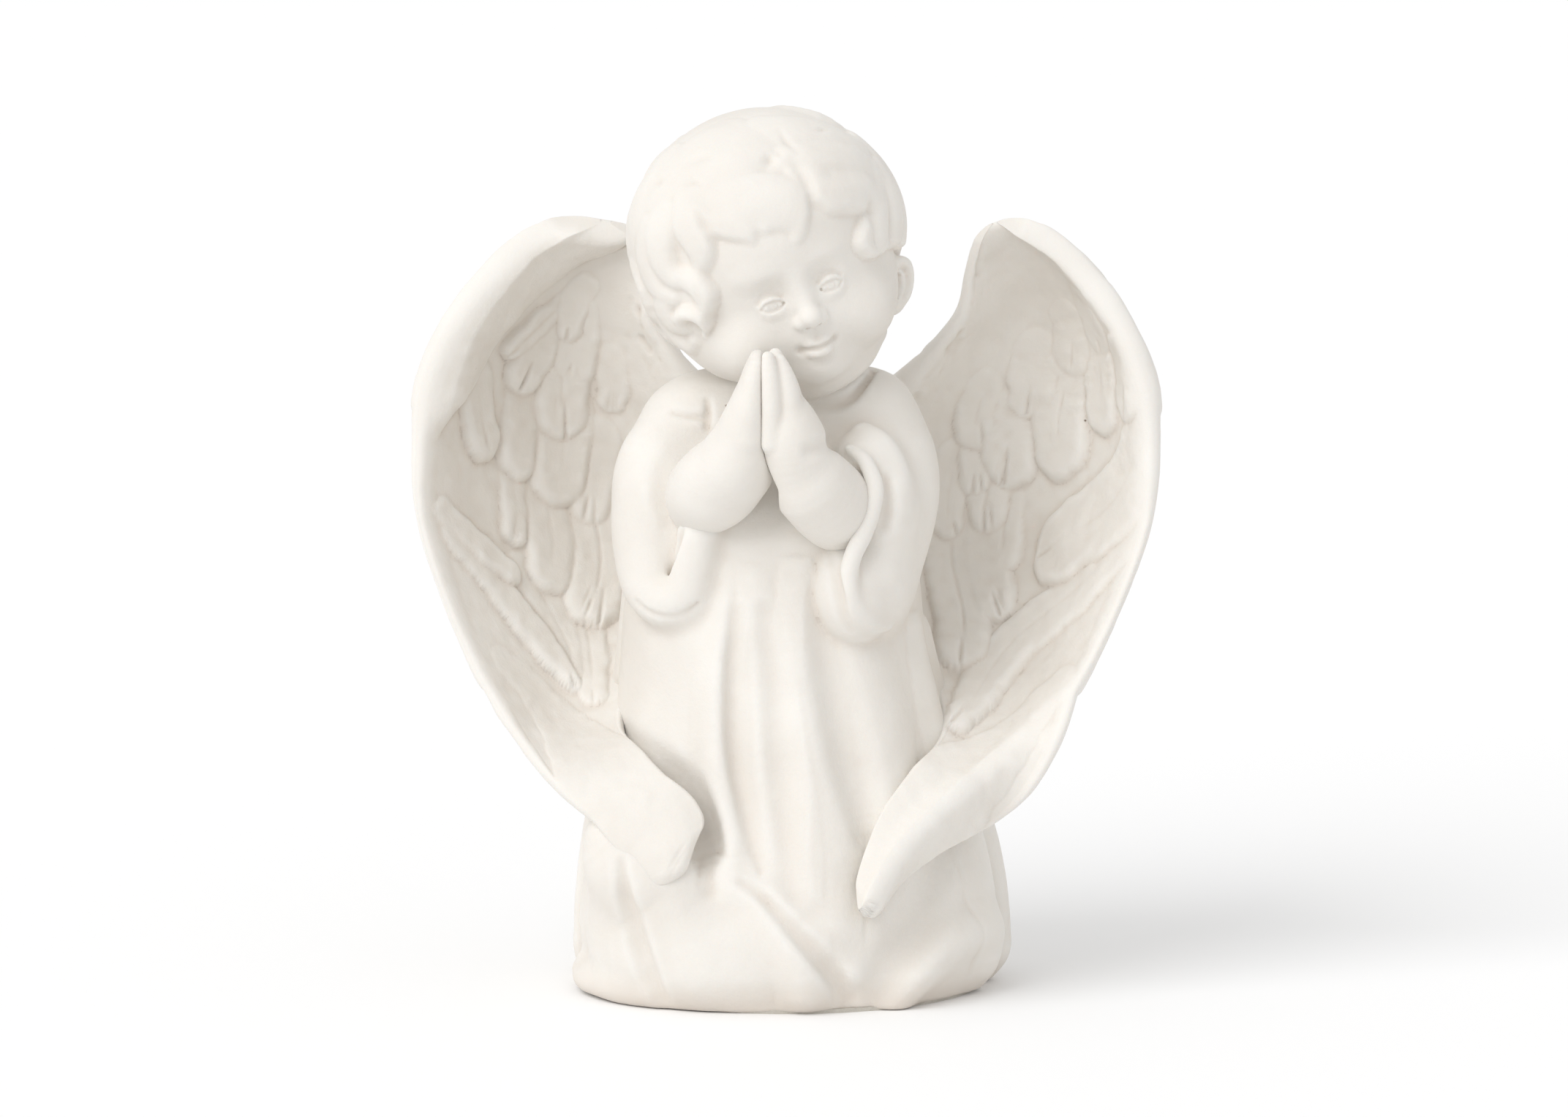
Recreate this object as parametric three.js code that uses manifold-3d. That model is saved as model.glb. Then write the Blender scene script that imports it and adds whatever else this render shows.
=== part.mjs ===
// Praying cherub figurine in cast resin, put together from separately cast pieces.
// A hollow robed body carries the head on a neck spigot, two forearms in sockets inside the
// sleeves, and two wings that are doweled to the back and wrap forward round the robe. A resin
// plug closes the hollow, and a felt pad covers the sole.
// Millimetres, +Z up. The figure faces -Y, so its own left side is at +X.
import * as THREE from "three";
import { LoftGeometry } from "three/addons/geometries/LoftGeometry.js";
import { mergeVertices } from "three/addons/utils/BufferGeometryUtils.js";
import Module from "manifold-3d";

const wasm = await Module();
wasm.setup();

// Driving dimensions.
const HEIGHT = 200; // sole of the felt to the crown of the head
const FELT = 1.2; // thickness of the felt pad
const FELT_INSET = 4; // the pad stops this far inside the edge of the robe's foot
const GAP = 0.3; // glue line between castings
const WALL = 6.5; // wall of the hollow robe
const HOLLOW_TOP = 88; // the chest above this is solid
const PLUG = 4.5; // thickness of the plug in the sole
const PIN_RADIUS = 1.5;
const PIN_LENGTH = 12;
const PIN_HOLE_RADIUS = PIN_RADIUS + 0.1;
const PIN_HEIGHTS = [101, 117]; // where the dowels cross from the back into the wings
const PIN_SPREAD = 16; // from the middle of the back to each dowel
const PIN_MIDDLE = 18.5; // how far back the middle of each dowel is
const NECK_RADIUS = 12.5;
const SPIGOT_RADIUS = 8;
const SPIGOT_LENGTH = 12;
const SHOULDER_TOP = 140; // the robe's collar, where the neck starts
const HEAD_RADIUS = 31;
const HEAD_CENTRE = [-3.6, -8, HEIGHT - HEAD_RADIUS - 1];
const HEAD_TURN = { nod: 6, tilt: 19, turn: 14 }; // degrees
const WING_THICKNESS = 5;
const LEFT_WING = { inward: 0, lift: 0 };
const RIGHT_WING = { inward: 10, lift: 10 }; // reaches further behind the head and ends higher

const ROBE_SIDES = 36;
const WING_HALF_SIDES = 9;
const LIMB_SIDES = 14;

const vec = (x, y, z) => new THREE.Vector3(x, y, z);
const radians = THREE.MathUtils.degToRad;

// A smooth function of x through the [x, value] pairs, level with its ends outside them.
function curveThrough(pairs) {
  const slopes = pairs.map((_, i) => {
    const before = pairs[Math.max(i - 1, 0)];
    const after = pairs[Math.min(i + 1, pairs.length - 1)];
    return (after[1] - before[1]) / (after[0] - before[0]);
  });
  return (x) => {
    const found = pairs.findIndex((pair) => pair[0] > x);
    const i = Math.min(Math.max((found < 0 ? pairs.length : found) - 1, 0), pairs.length - 2);
    const [x0, y0] = pairs[i];
    const [x1, y1] = pairs[i + 1];
    const span = x1 - x0;
    const t = THREE.MathUtils.clamp((x - x0) / span, 0, 1);
    const rise = t * t * (3 - 2 * t);
    const leave = t * (1 - t) * (1 - t) * span * slopes[i];
    const arrive = -t * t * (1 - t) * span * slopes[i + 1];
    return y0 + (y1 - y0) * rise + leave + arrive;
  };
}

// Solids.

function solidOf(geometry) {
  const shape = new THREE.BufferGeometry();
  shape.setAttribute("position", geometry.getAttribute("position"));
  shape.setIndex(geometry.getIndex());
  const merged = mergeVertices(shape, 1e-4);
  return new wasm.Manifold(
    new wasm.Mesh({
      numProp: 3,
      vertProperties: merged.attributes.position.array,
      triVerts: new Uint32Array(merged.index.array),
    }),
  );
}

function geometryOf(solid) {
  const mesh = solid.getMesh();
  const geometry = new THREE.BufferGeometry();
  geometry.setAttribute("position", new THREE.BufferAttribute(mesh.vertProperties, 3));
  geometry.setIndex(new THREE.BufferAttribute(mesh.triVerts, 1));
  geometry.computeVertexNormals();
  return geometry;
}

const capped = { capStart: true, capEnd: true };
const loft = (sections) => solidOf(new LoftGeometry(sections, capped));

// The biggest piece of a solid that a cut may have left in several.
function mainPiece(solid) {
  return solid.decompose().reduce((a, b) => (a.volume() > b.volume() ? a : b));
}

// An ellipsoid, turned by degrees about X, Y and Z.
function ellipsoid(centre, radii, turn = [0, 0, 0], sides = 16) {
  const geometry = new THREE.SphereGeometry(1, sides, Math.round(sides * 0.65));
  geometry.scale(...radii);
  geometry.rotateX(radians(turn[0]));
  geometry.rotateY(radians(turn[1]));
  geometry.rotateZ(radians(turn[2]));
  geometry.translate(...centre);
  return solidOf(geometry);
}

// A round bar that lies along an axis from its start.
function bar(start, direction, radius, length, sides = 20) {
  const geometry = new THREE.CylinderGeometry(radius, radius, length, sides);
  geometry.translate(0, length / 2, 0);
  const turn = new THREE.Quaternion().setFromUnitVectors(vec(0, 1, 0), direction.clone().normalize());
  geometry.applyQuaternion(turn);
  geometry.translate(start.x, start.y, start.z);
  return geometry;
}

// A limb along a path of [x, y, z, half width, half depth] knots, with rounded ends.
function limb(knots, grow = 0, steps = 14) {
  const path = new THREE.CatmullRomCurve3(knots.map((k) => vec(k[0], k[1], k[2])));
  const share = (i) => knots.map((k, n) => [n / (knots.length - 1), k[i]]);
  const width = curveThrough(share(3));
  const depth = curveThrough(share(4));
  const sections = [];
  for (let i = 0; i <= steps; i++) {
    const t = i / steps;
    const centre = path.getPoint(t);
    const along = path.getTangent(t);
    const across = vec(1, 0, 0).addScaledVector(along, -along.x).normalize();
    const through = along.clone().cross(across);
    const endward = Math.min(1, 0.35 + 2.6 * Math.min(t, 1 - t));
    const round = Math.sqrt(1 - (1 - endward) ** 2);
    const ring = [];
    for (let j = 0; j < LIMB_SIDES; j++) {
      const angle = (j / LIMB_SIDES) * 2 * Math.PI;
      ring.push(
        centre
          .clone()
          .addScaledVector(across, (width(t) * round + grow) * Math.cos(angle))
          .addScaledVector(through, (depth(t) * round + grow) * Math.sin(angle)),
      );
    }
    sections.push(ring);
  }
  return loft(sections);
}

// Robe: sections up the body, each an ellipse whose front and back differ, with falling folds.

const ROBE_LEVELS = [1.2, 5, 12, 22, 33, 44, 55, 66, 77, 88, 98, 107, 115, 122, 128, 133, 137, 140];
const robeWidth = curveThrough([
  [1.2, 43.5], [6, 47], [15, 48], [25, 46.5], [40, 42.5], [58, 37.5], [75, 34.5],
  [95, 32.5], [112, 33], [121, 32], [128, 29], [133, 25], [137, 20], [140, 14],
]);
const robeFront = curveThrough([
  [1.2, 42], [8, 45.5], [20, 44], [35, 40], [50, 35.5], [70, 31], [90, 28],
  [107, 25], [118, 21.5], [126, 18.5], [133, 15.5], [137, 14], [140, 12.5],
]);
const robeBack = curveThrough([
  [1.2, 38], [8, 41], [20, 40], [35, 35.5], [50, 30], [70, 24], [90, 20.5],
  [107, 19.5], [118, 19.5], [126, 18], [133, 16], [137, 14], [140, 12],
]);
const robeCentre = curveThrough([[0, 0.5], [35, 0], [80, -2.5], [110, -2.5], [140, -0.5]]);
const foldDepth = curveThrough([[0, 0.028], [40, 0.022], [90, 0.006], [110, 0]]);
const FOLDS = 9;

function robeRing(z, grow = 0, folds = foldDepth(z)) {
  const ring = [];
  for (let i = 0; i < ROBE_SIDES; i++) {
    const angle = (i / ROBE_SIDES) * 2 * Math.PI;
    const fold = 1 + folds * Math.cos(FOLDS * angle + 0.6);
    const depth = Math.sin(angle) < 0 ? robeFront(z) : robeBack(z);
    const x = robeCentre(z) + (robeWidth(z) * fold + grow) * Math.cos(angle);
    ring.push(vec(x, (depth * fold + grow) * Math.sin(angle), z));
  }
  return ring;
}

const robe = (grow) => loft(ROBE_LEVELS.map((z) => robeRing(z, grow)));

// Upper arms in their wide sleeves, each with the cuff that hangs below the forearm.
function sleeves(grow) {
  const grown = (radii) => radii.map((r) => r + grow);
  return [
    ellipsoid([23.5, -5, 109], grown([11.5, 17, 27]), [8, 5, 0]),
    ellipsoid([17.5, -19, 93], grown([11, 9.5, 15]), [0, -8, 0]),
    ellipsoid([-26, -5, 109], grown([11.5, 17, 27]), [8, -5, 0]),
    ellipsoid([-24, -18, 96], grown([11.5, 10, 15]), [0, 10, 0]),
  ];
}

// The outer form of the body, which the pieces that seat on it are cut to.
const bodyForm = (grow = 0) => sleeves(grow).reduce((whole, part) => whole.add(part), robe(grow));

function hollow() {
  const levels = [...ROBE_LEVELS.filter((z) => z < HOLLOW_TOP - 6), HOLLOW_TOP];
  levels[0] = -1;
  return loft(levels.map((z) => robeRing(z, z === HOLLOW_TOP ? -WALL - 6 : -WALL, 0)));
}

// The flat seat for the plug, wider than the hollow by a ledge.
const PLUG_LEDGE = 2.5;
function soleDisc(bottom, top, inset) {
  return loft([bottom, top].map((z) => robeRing(8, -inset, 0).map((p) => p.clone().setZ(z))));
}

// Forearms with the hands pressed palm to palm.
// Knots from the elbow, hidden in the sleeve, over the wrist and palm to the fingertips.
const LEFT_ARM = [
  [23, -20, 105.5, 8.8, 8.8],
  [14.5, -29.5, 112.5, 9.6, 9.6],
  [6.5, -36.5, 119.5, 7.6, 8],
  [2.4, -40, 128.5, 5, 7.6],
  [0.8, -40.5, 138.5, 3.8, 6.4],
  [-1, -40.5, 148, 2.2, 3.6],
];
const RIGHT_ARM = [
  [-23, -18, 109, 8.8, 8.8],
  [-17, -28, 114.5, 9.4, 9.4],
  [-10.5, -36, 121, 7.4, 7.8],
  [-7.4, -40, 129, 4.6, 7.4],
  [-6.6, -40.5, 138, 3.3, 6.2],
  [-5.4, -40.5, 147.5, 2, 3.6],
];

// Head: a round skull under curls, with the face's cheeks, chin and nose, an ear on one side and
// thick curls over the other, and a neck that ends in a spigot.

const HAIR_RELIEF = 0.9;
function hairRelief(direction) {
  const { x, y, z } = direction;
  const onScalp = THREE.MathUtils.smoothstep(z - y * -0.35 + y * y * 0.2, -0.35, 0.25);
  return HAIR_RELIEF * onScalp * Math.sin(9 * x + 4 * z) * Math.sin(8 * y - 5 * z);
}

function skull() {
  const geometry = new THREE.SphereGeometry(1, 30, 20);
  const position = geometry.attributes.position;
  const point = new THREE.Vector3();
  for (let i = 0; i < position.count; i++) {
    point.fromBufferAttribute(position, i);
    point.multiplyScalar(HEAD_RADIUS + hairRelief(point));
    position.setXYZ(i, point.x, point.y, point.z);
  }
  return solidOf(geometry);
}

function head() {
  const features = [
    ellipsoid([0, -9, -13], [23, 20, 17]),
    ellipsoid([-10, -17, -16], [10, 9, 9], [0, 0, 0], 12),
    ellipsoid([10, -17, -16], [10, 9, 9], [0, 0, 0], 12),
    ellipsoid([0, -21, -25], [7, 6.5, 5], [0, 0, 0], 12),
    ellipsoid([0, -31, -9.5], [3.2, 3.2, 3], [0, 0, 0], 10),
    ellipsoid([27, -2, -18], [5, 6, 8], [0, 8, 0], 12),
    ellipsoid([-26, -5, -8], [7, 9, 10], [0, 0, 0], 12),
    ellipsoid([-22, -11, -17], [6, 8, 7], [0, 0, 0], 12),
  ];
  const turned = features
    .reduce((whole, part) => whole.add(part), skull())
    .rotate([HEAD_TURN.nod, 0, 0])
    .rotate([0, -HEAD_TURN.tilt, 0])
    .rotate([0, 0, HEAD_TURN.turn])
    .translate(HEAD_CENTRE);
  const up = vec(0, 0, 1);
  const foot = vec(robeCentre(SHOULDER_TOP), 0, SHOULDER_TOP - SPIGOT_LENGTH);
  const neck = solidOf(bar(foot.clone().setZ(SHOULDER_TOP - 8), up, NECK_RADIUS, 18, 24));
  const spigot = solidOf(bar(foot, up, SPIGOT_RADIUS, SPIGOT_LENGTH + 4));
  return mainPiece(turned.add(neck).subtract(bodyForm(GAP))).add(spigot);
}

function neckSocket() {
  const foot = vec(robeCentre(SHOULDER_TOP), 0, SHOULDER_TOP - SPIGOT_LENGTH - 1);
  return solidOf(bar(foot, vec(0, 0, 1), SPIGOT_RADIUS + GAP, SPIGOT_LENGTH + 4));
}

// Wings: each station down the wing has an inner point, a belly point and an outer point, and
// the wing's section there is the smooth curve through the three. Given for the +X wing.

const WING_INNER = [
  [43, 20, 168.5], [40, 22, 158], [37, 22, 147], [24, 21, 133], [12, 20.5, 122], [10, 21, 106],
  [13, 20, 91], [26, 15, 77], [35.5, -10, 60], [29, -26, 51.5], [23, -34, 43.5], [19.5, -39.5, 34],
  [17.6, -43, 26.5],
];
const WING_BELLY = [
  [46.5, 20, 170], [52, 27, 162.5], [57, 32, 151], [57, 35, 137], [53, 36, 121], [50, 34, 105.5],
  [48, 28, 90], [50, 14, 75.5], [49, -8, 60], [39, -28, 48], [31, -36.5, 39], [24, -41.5, 30.5],
  [19, -44.3, 23.5],
];
const WING_OUTER = [
  [50, 19, 170.5], [62, 16, 164], [74, 10, 151], [81.5, 4, 135.5], [83, -1, 119.5], [82, -6, 105.5],
  [77, -12, 91], [69.5, -18, 75.5], [60, -25, 60.5], [48.5, -32, 44.5], [38.5, -38, 34.5],
  [28, -42.5, 25.5], [20.5, -44.8, 20.3],
];
const rimGirth = curveThrough([[0, 3.4], [0.12, 4.2], [0.28, 4], [0.42, 2.4], [1, 1.6]]);
const rootGirth = curveThrough([[0, 2], [0.2, 2.6], [0.33, 7], [0.5, 7], [0.6, 2.8], [1, 1.6]]);

const smooth = (points) => new THREE.CatmullRomCurve3(points.map((p) => vec(...p)), false, "catmullrom");
const wingInner = smooth(WING_INNER);
const wingBelly = smooth(WING_BELLY);
const wingOuter = smooth(WING_OUTER);

// A point of the wing's middle surface, s from its top to its tip and v from the body outwards.
function wingPoint(shape, s, v) {
  const inner = wingInner.getPoint(s);
  const outer = wingOuter.getPoint(s);
  const belly = wingBelly.getPoint(s);
  const inward = shape.inward * (1 - THREE.MathUtils.smoothstep(s, 0, 0.42));
  inner.x -= inward;
  belly.x -= inward / 2;
  const bend = belly.multiplyScalar(2).addScaledVector(inner, -0.5).addScaledVector(outer, -0.5);
  const point = inner
    .multiplyScalar((1 - v) ** 2)
    .addScaledVector(bend, 2 * v * (1 - v))
    .addScaledVector(outer, v * v);
  point.z += shape.lift * THREE.MathUtils.smoothstep(s, 0.6, 1);
  return point;
}

function wingNormal(shape, s, v) {
  const step = 0.01;
  const above = wingPoint(shape, Math.max(s - step, 0), v);
  const below = wingPoint(shape, Math.min(s + step, 1), v);
  const inside = wingPoint(shape, s, Math.max(v - step, 0));
  const outside = wingPoint(shape, s, Math.min(v + step, 1));
  return below.sub(above).cross(outside.sub(inside)).normalize();
}

// Half the wing's thickness, with full round edges and a stouter leading rim and root.
function wingHalf(s, v) {
  const blade = WING_THICKNESS / 2;
  const rim = Math.max(rimGirth(s) - blade, -0.9) * Math.exp(-(((1 - v) / 0.13) ** 2));
  const root = (rootGirth(s) - blade) * Math.exp(-((v / 0.25) ** 2));
  const edge = Math.min(v, 1 - v) / 0.06;
  return (blade + rim + root) * (edge < 1 ? Math.sqrt(1 - (1 - edge) ** 2) : 1);
}

function wing(shape) {
  const stations = 26;
  const across = Array.from({ length: WING_HALF_SIDES + 1 }, (_, i) => {
    return 0.5 - 0.5 * Math.cos((Math.PI * i) / WING_HALF_SIDES);
  });
  const sections = [];
  for (let i = 0; i <= stations; i++) {
    const s = i / stations;
    const front = [];
    const back = [];
    for (const v of across) {
      const half = wingHalf(s, v);
      const normal = wingNormal(shape, s, v);
      front.push(wingPoint(shape, s, v).addScaledVector(normal, half));
      if (v > 0 && v < 1) back.unshift(wingPoint(shape, s, v).addScaledVector(normal, -half));
    }
    sections.push([...front, ...back].reverse());
  }
  return loft(sections);
}

const mirrored = (solid) => solid.mirror([1, 0, 0]);

// Dowels, in pairs, straight back out of the chest into each wing's root.
function pinGeometry(side, height, radius, length) {
  return bar(vec(side * PIN_SPREAD, PIN_MIDDLE - length / 2, height), vec(0, 1, 0), radius, length, 16);
}

const sides = { left: 1, right: -1 };
const pinHoles = Object.values(sides).flatMap((side) => {
  return PIN_HEIGHTS.map((z) => solidOf(pinGeometry(side, z, PIN_HOLE_RADIUS, PIN_LENGTH + 0.8)));
});
const without = (solid, cuts) => cuts.reduce((left, cut) => left.subtract(cut), solid);

// Looks.

const resin = new THREE.MeshStandardMaterial({ color: 0xf2efea, roughness: 0.72, metalness: 0 });
const steel = new THREE.MeshStandardMaterial({ color: 0xb8babd, roughness: 0.35, metalness: 1 });
const felt = new THREE.MeshStandardMaterial({ color: 0xd9d3c8, roughness: 1, metalness: 0 });

const figure = new THREE.Group();
function piece(name, geometry, material) {
  const mesh = new THREE.Mesh(geometry, material);
  mesh.name = name;
  figure.add(mesh);
}

// Assembly.

const leftArm = limb(LEFT_ARM);
const rightArm = limb(RIGHT_ARM);
const headForm = head();
const seat = bodyForm(GAP);
const plugSeat = soleDisc(-1, FELT + PLUG + GAP, WALL - PLUG_LEDGE);

piece(
  "body_casting",
  geometryOf(
    mainPiece(
      without(bodyForm(), [
        hollow(),
        plugSeat,
        neckSocket(),
        limb(LEFT_ARM, GAP),
        limb(RIGHT_ARM, GAP),
        ...pinHoles,
      ]),
    ),
  ),
  resin,
);
piece("head_casting", geometryOf(without(headForm, [limb(LEFT_ARM, GAP), limb(RIGHT_ARM, GAP)])), resin);
piece("left_forearm", geometryOf(leftArm), resin);
piece("right_forearm", geometryOf(mainPiece(rightArm.subtract(limb(LEFT_ARM, GAP)))), resin);
const wingSeats = [seat, headForm, ...pinHoles];
piece("left_wing", geometryOf(mainPiece(without(wing(LEFT_WING), wingSeats))), resin);
piece("right_wing", geometryOf(mainPiece(without(mirrored(wing(RIGHT_WING)), wingSeats))), resin);
for (const [name, side] of Object.entries(sides)) {
  const [lower, upper] = PIN_HEIGHTS;
  piece(`${name}_wing_upper_pin`, pinGeometry(side, upper, PIN_RADIUS, PIN_LENGTH), steel);
  piece(`${name}_wing_lower_pin`, pinGeometry(side, lower, PIN_RADIUS, PIN_LENGTH), steel);
}
piece("sole_plug", geometryOf(soleDisc(FELT, FELT + PLUG, WALL - PLUG_LEDGE + GAP)), resin);
piece("felt_pad", geometryOf(soleDisc(0, FELT - GAP, FELT_INSET - 1)), felt);

// The bounding box's base is centred on the origin.
const box = new THREE.Box3().setFromObject(figure);
const middle = box.getCenter(new THREE.Vector3());
figure.position.set(-middle.x, -middle.y, -box.min.z);

export default figure;
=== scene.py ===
import math
from collections import namedtuple

import bpy
import numpy as np
import openvdb as vdb
from mathutils import Matrix, Vector


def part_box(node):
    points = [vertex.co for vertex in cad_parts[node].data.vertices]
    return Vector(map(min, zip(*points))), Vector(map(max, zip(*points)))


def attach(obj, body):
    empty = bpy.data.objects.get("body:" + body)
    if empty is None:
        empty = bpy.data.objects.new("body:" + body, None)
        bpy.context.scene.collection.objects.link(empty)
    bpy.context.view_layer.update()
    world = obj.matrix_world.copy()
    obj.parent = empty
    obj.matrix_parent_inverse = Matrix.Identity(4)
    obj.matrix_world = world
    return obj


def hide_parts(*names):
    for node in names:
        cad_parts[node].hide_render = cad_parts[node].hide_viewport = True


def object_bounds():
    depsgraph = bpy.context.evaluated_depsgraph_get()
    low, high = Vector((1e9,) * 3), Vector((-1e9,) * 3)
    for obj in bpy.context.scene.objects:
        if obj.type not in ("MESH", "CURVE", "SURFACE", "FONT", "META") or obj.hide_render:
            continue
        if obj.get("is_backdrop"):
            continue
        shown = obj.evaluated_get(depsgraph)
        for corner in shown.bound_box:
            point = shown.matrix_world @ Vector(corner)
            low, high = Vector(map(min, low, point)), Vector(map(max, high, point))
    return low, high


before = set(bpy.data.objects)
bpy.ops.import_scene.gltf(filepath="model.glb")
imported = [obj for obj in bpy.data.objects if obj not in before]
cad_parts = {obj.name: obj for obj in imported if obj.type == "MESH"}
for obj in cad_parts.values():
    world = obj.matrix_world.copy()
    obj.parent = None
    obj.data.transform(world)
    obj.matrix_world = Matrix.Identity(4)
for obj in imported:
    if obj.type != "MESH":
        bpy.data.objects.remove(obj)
cad_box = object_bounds()

# The figure is sculpted in millimetres in the CAD source's own frame, before that frame was
# centred on its bounding box. The dowels say how far the two lie apart.
MM = 0.001
PIN_MIDDLE = 18.5
PIN_HEIGHT = 101


def middle_of(node):
    low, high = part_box(node)
    return np.array((low + high) / 2) / MM


left_pin = middle_of("left_wing_lower_pin")
right_pin = middle_of("right_wing_lower_pin")
SHIFT = (left_pin + right_pin) / 2 - (0, PIN_MIDDLE, PIN_HEIGHT)


# ---------------------------------------------------------------- clay

FAR = 20.0  # the distance that empty clay starts with
REACH = 3.0  # how far beyond a form the clay near it is worked


def soft_min(a, b, blend):
    """The smaller of two distances, with a fillet about blend wide where they meet."""
    if blend <= 0:
        return np.minimum(a, b)
    overlap = np.maximum(blend - np.abs(a - b), 0) / blend
    return np.minimum(a, b) - overlap * overlap * (blend / 4)


def turned(nod=0, tilt=0, turn=0):
    """A 3 by 3 rotation: degrees about X, then about Y, then about Z."""
    steps = Matrix.Rotation(math.radians(turn), 3, "Z")
    steps = steps @ Matrix.Rotation(math.radians(tilt), 3, "Y")
    return np.array(steps @ Matrix.Rotation(math.radians(nod), 3, "X"))


Form = namedtuple("Form", "low high distance")  # a solid's box, and its distance over x, y and z


def ball(centre, radii, turn=(0, 0, 0)):
    """An ellipsoid, turned by degrees about X, Y and Z."""
    centre = np.asarray(centre, float)
    radii = np.broadcast_to(np.asarray(radii, float), 3)
    axes = turned(*turn)
    extent = np.sqrt((axes**2) @ (radii**2))

    def distance(x, y, z):
        away = (x - centre[0], y - centre[1], z - centre[2])
        near = 0
        far = 0
        for k in range(3):
            along = sum(np.float32(axes[i, k]) * away[i] for i in range(3))
            near = near + (along / np.float32(radii[k])) ** 2
            far = far + (along / np.float32(radii[k] ** 2)) ** 2
        near = np.sqrt(near)
        return near * (near - 1) / np.maximum(np.sqrt(far), 1e-6)

    return Form(centre - extent, centre + extent, distance)


def curve_at(a, b, c, d, t):
    """Where the smooth curve through four knots is, a share t of the way from b to c."""
    curve = 2 * b + (c - a) * t + (2 * a - 5 * b + 4 * c - d) * t**2 + (3 * b - a - 3 * c + d) * t**3
    return curve / 2


def with_ends(knots):
    """The knots and one more beyond each end, straight on."""
    knots = np.asarray(knots, float)
    return np.array([2 * knots[0] - knots[1], *knots, 2 * knots[-1] - knots[-2]])


def smooth_path(knots, step):
    """Points about a step apart on the smooth curve through the knots, which may carry a radius."""
    ends = with_ends(knots)
    path = []
    for a, b, c, d in zip(ends, ends[1:], ends[2:], ends[3:]):
        count = max(1, int(np.linalg.norm((c - b)[:3]) / step))
        path += [curve_at(a, b, c, d, t) for t in np.arange(count) / count]
    return np.array([*path, ends[-2]])


def tube(knots, step):
    """A round tube through [x, y, z, radius] knots."""
    path = smooth_path(knots, step)
    path[:, 3] = np.maximum(path[:, 3], 0.05)
    reach = path[:, 3:] + REACH

    def distance(x, y, z):
        result = np.full((x.size, y.size, z.size), FAR, np.float32)
        axes = [x.ravel(), y.ravel(), z.ravel()]
        for a, b, r in zip(path[:-1], path[1:], reach):
            low = np.minimum(a, b)[:3] - r
            high = np.maximum(a, b)[:3] + r
            spans = tuple(
                slice(*np.searchsorted(axis, pair)) for axis, pair in zip(axes, zip(low, high))
            )
            px, py, pz = x[spans[0]] - a[0], y[:, spans[1]] - a[1], z[:, :, spans[2]] - a[2]
            way = (b - a).astype(np.float32)
            t = (px * way[0] + py * way[1] + pz * way[2]) / max(float(way[:3] @ way[:3]), 1e-9)
            t = np.clip(t, 0, 1)
            gap = (px - t * way[0]) ** 2 + (py - t * way[1]) ** 2 + (pz - t * way[2]) ** 2
            block = result[spans]
            np.minimum(block, np.sqrt(gap) - (a[3] + t * way[3]), out=block)
        return result

    return Form((path[:, :3] - path[:, 3:]).min(0), (path[:, :3] + path[:, 3:]).max(0), distance)


def graded(low, high, coarse, fine, detail):
    """Grid positions a coarse step apart, and a detail step apart over the fine stretch."""
    before = np.arange(fine[0], low - coarse, -coarse)[::-1]
    within = np.arange(fine[0] + detail, fine[1], detail)
    after = np.arange(fine[1], high + coarse, coarse)
    return np.concatenate([before, within, after])


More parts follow.
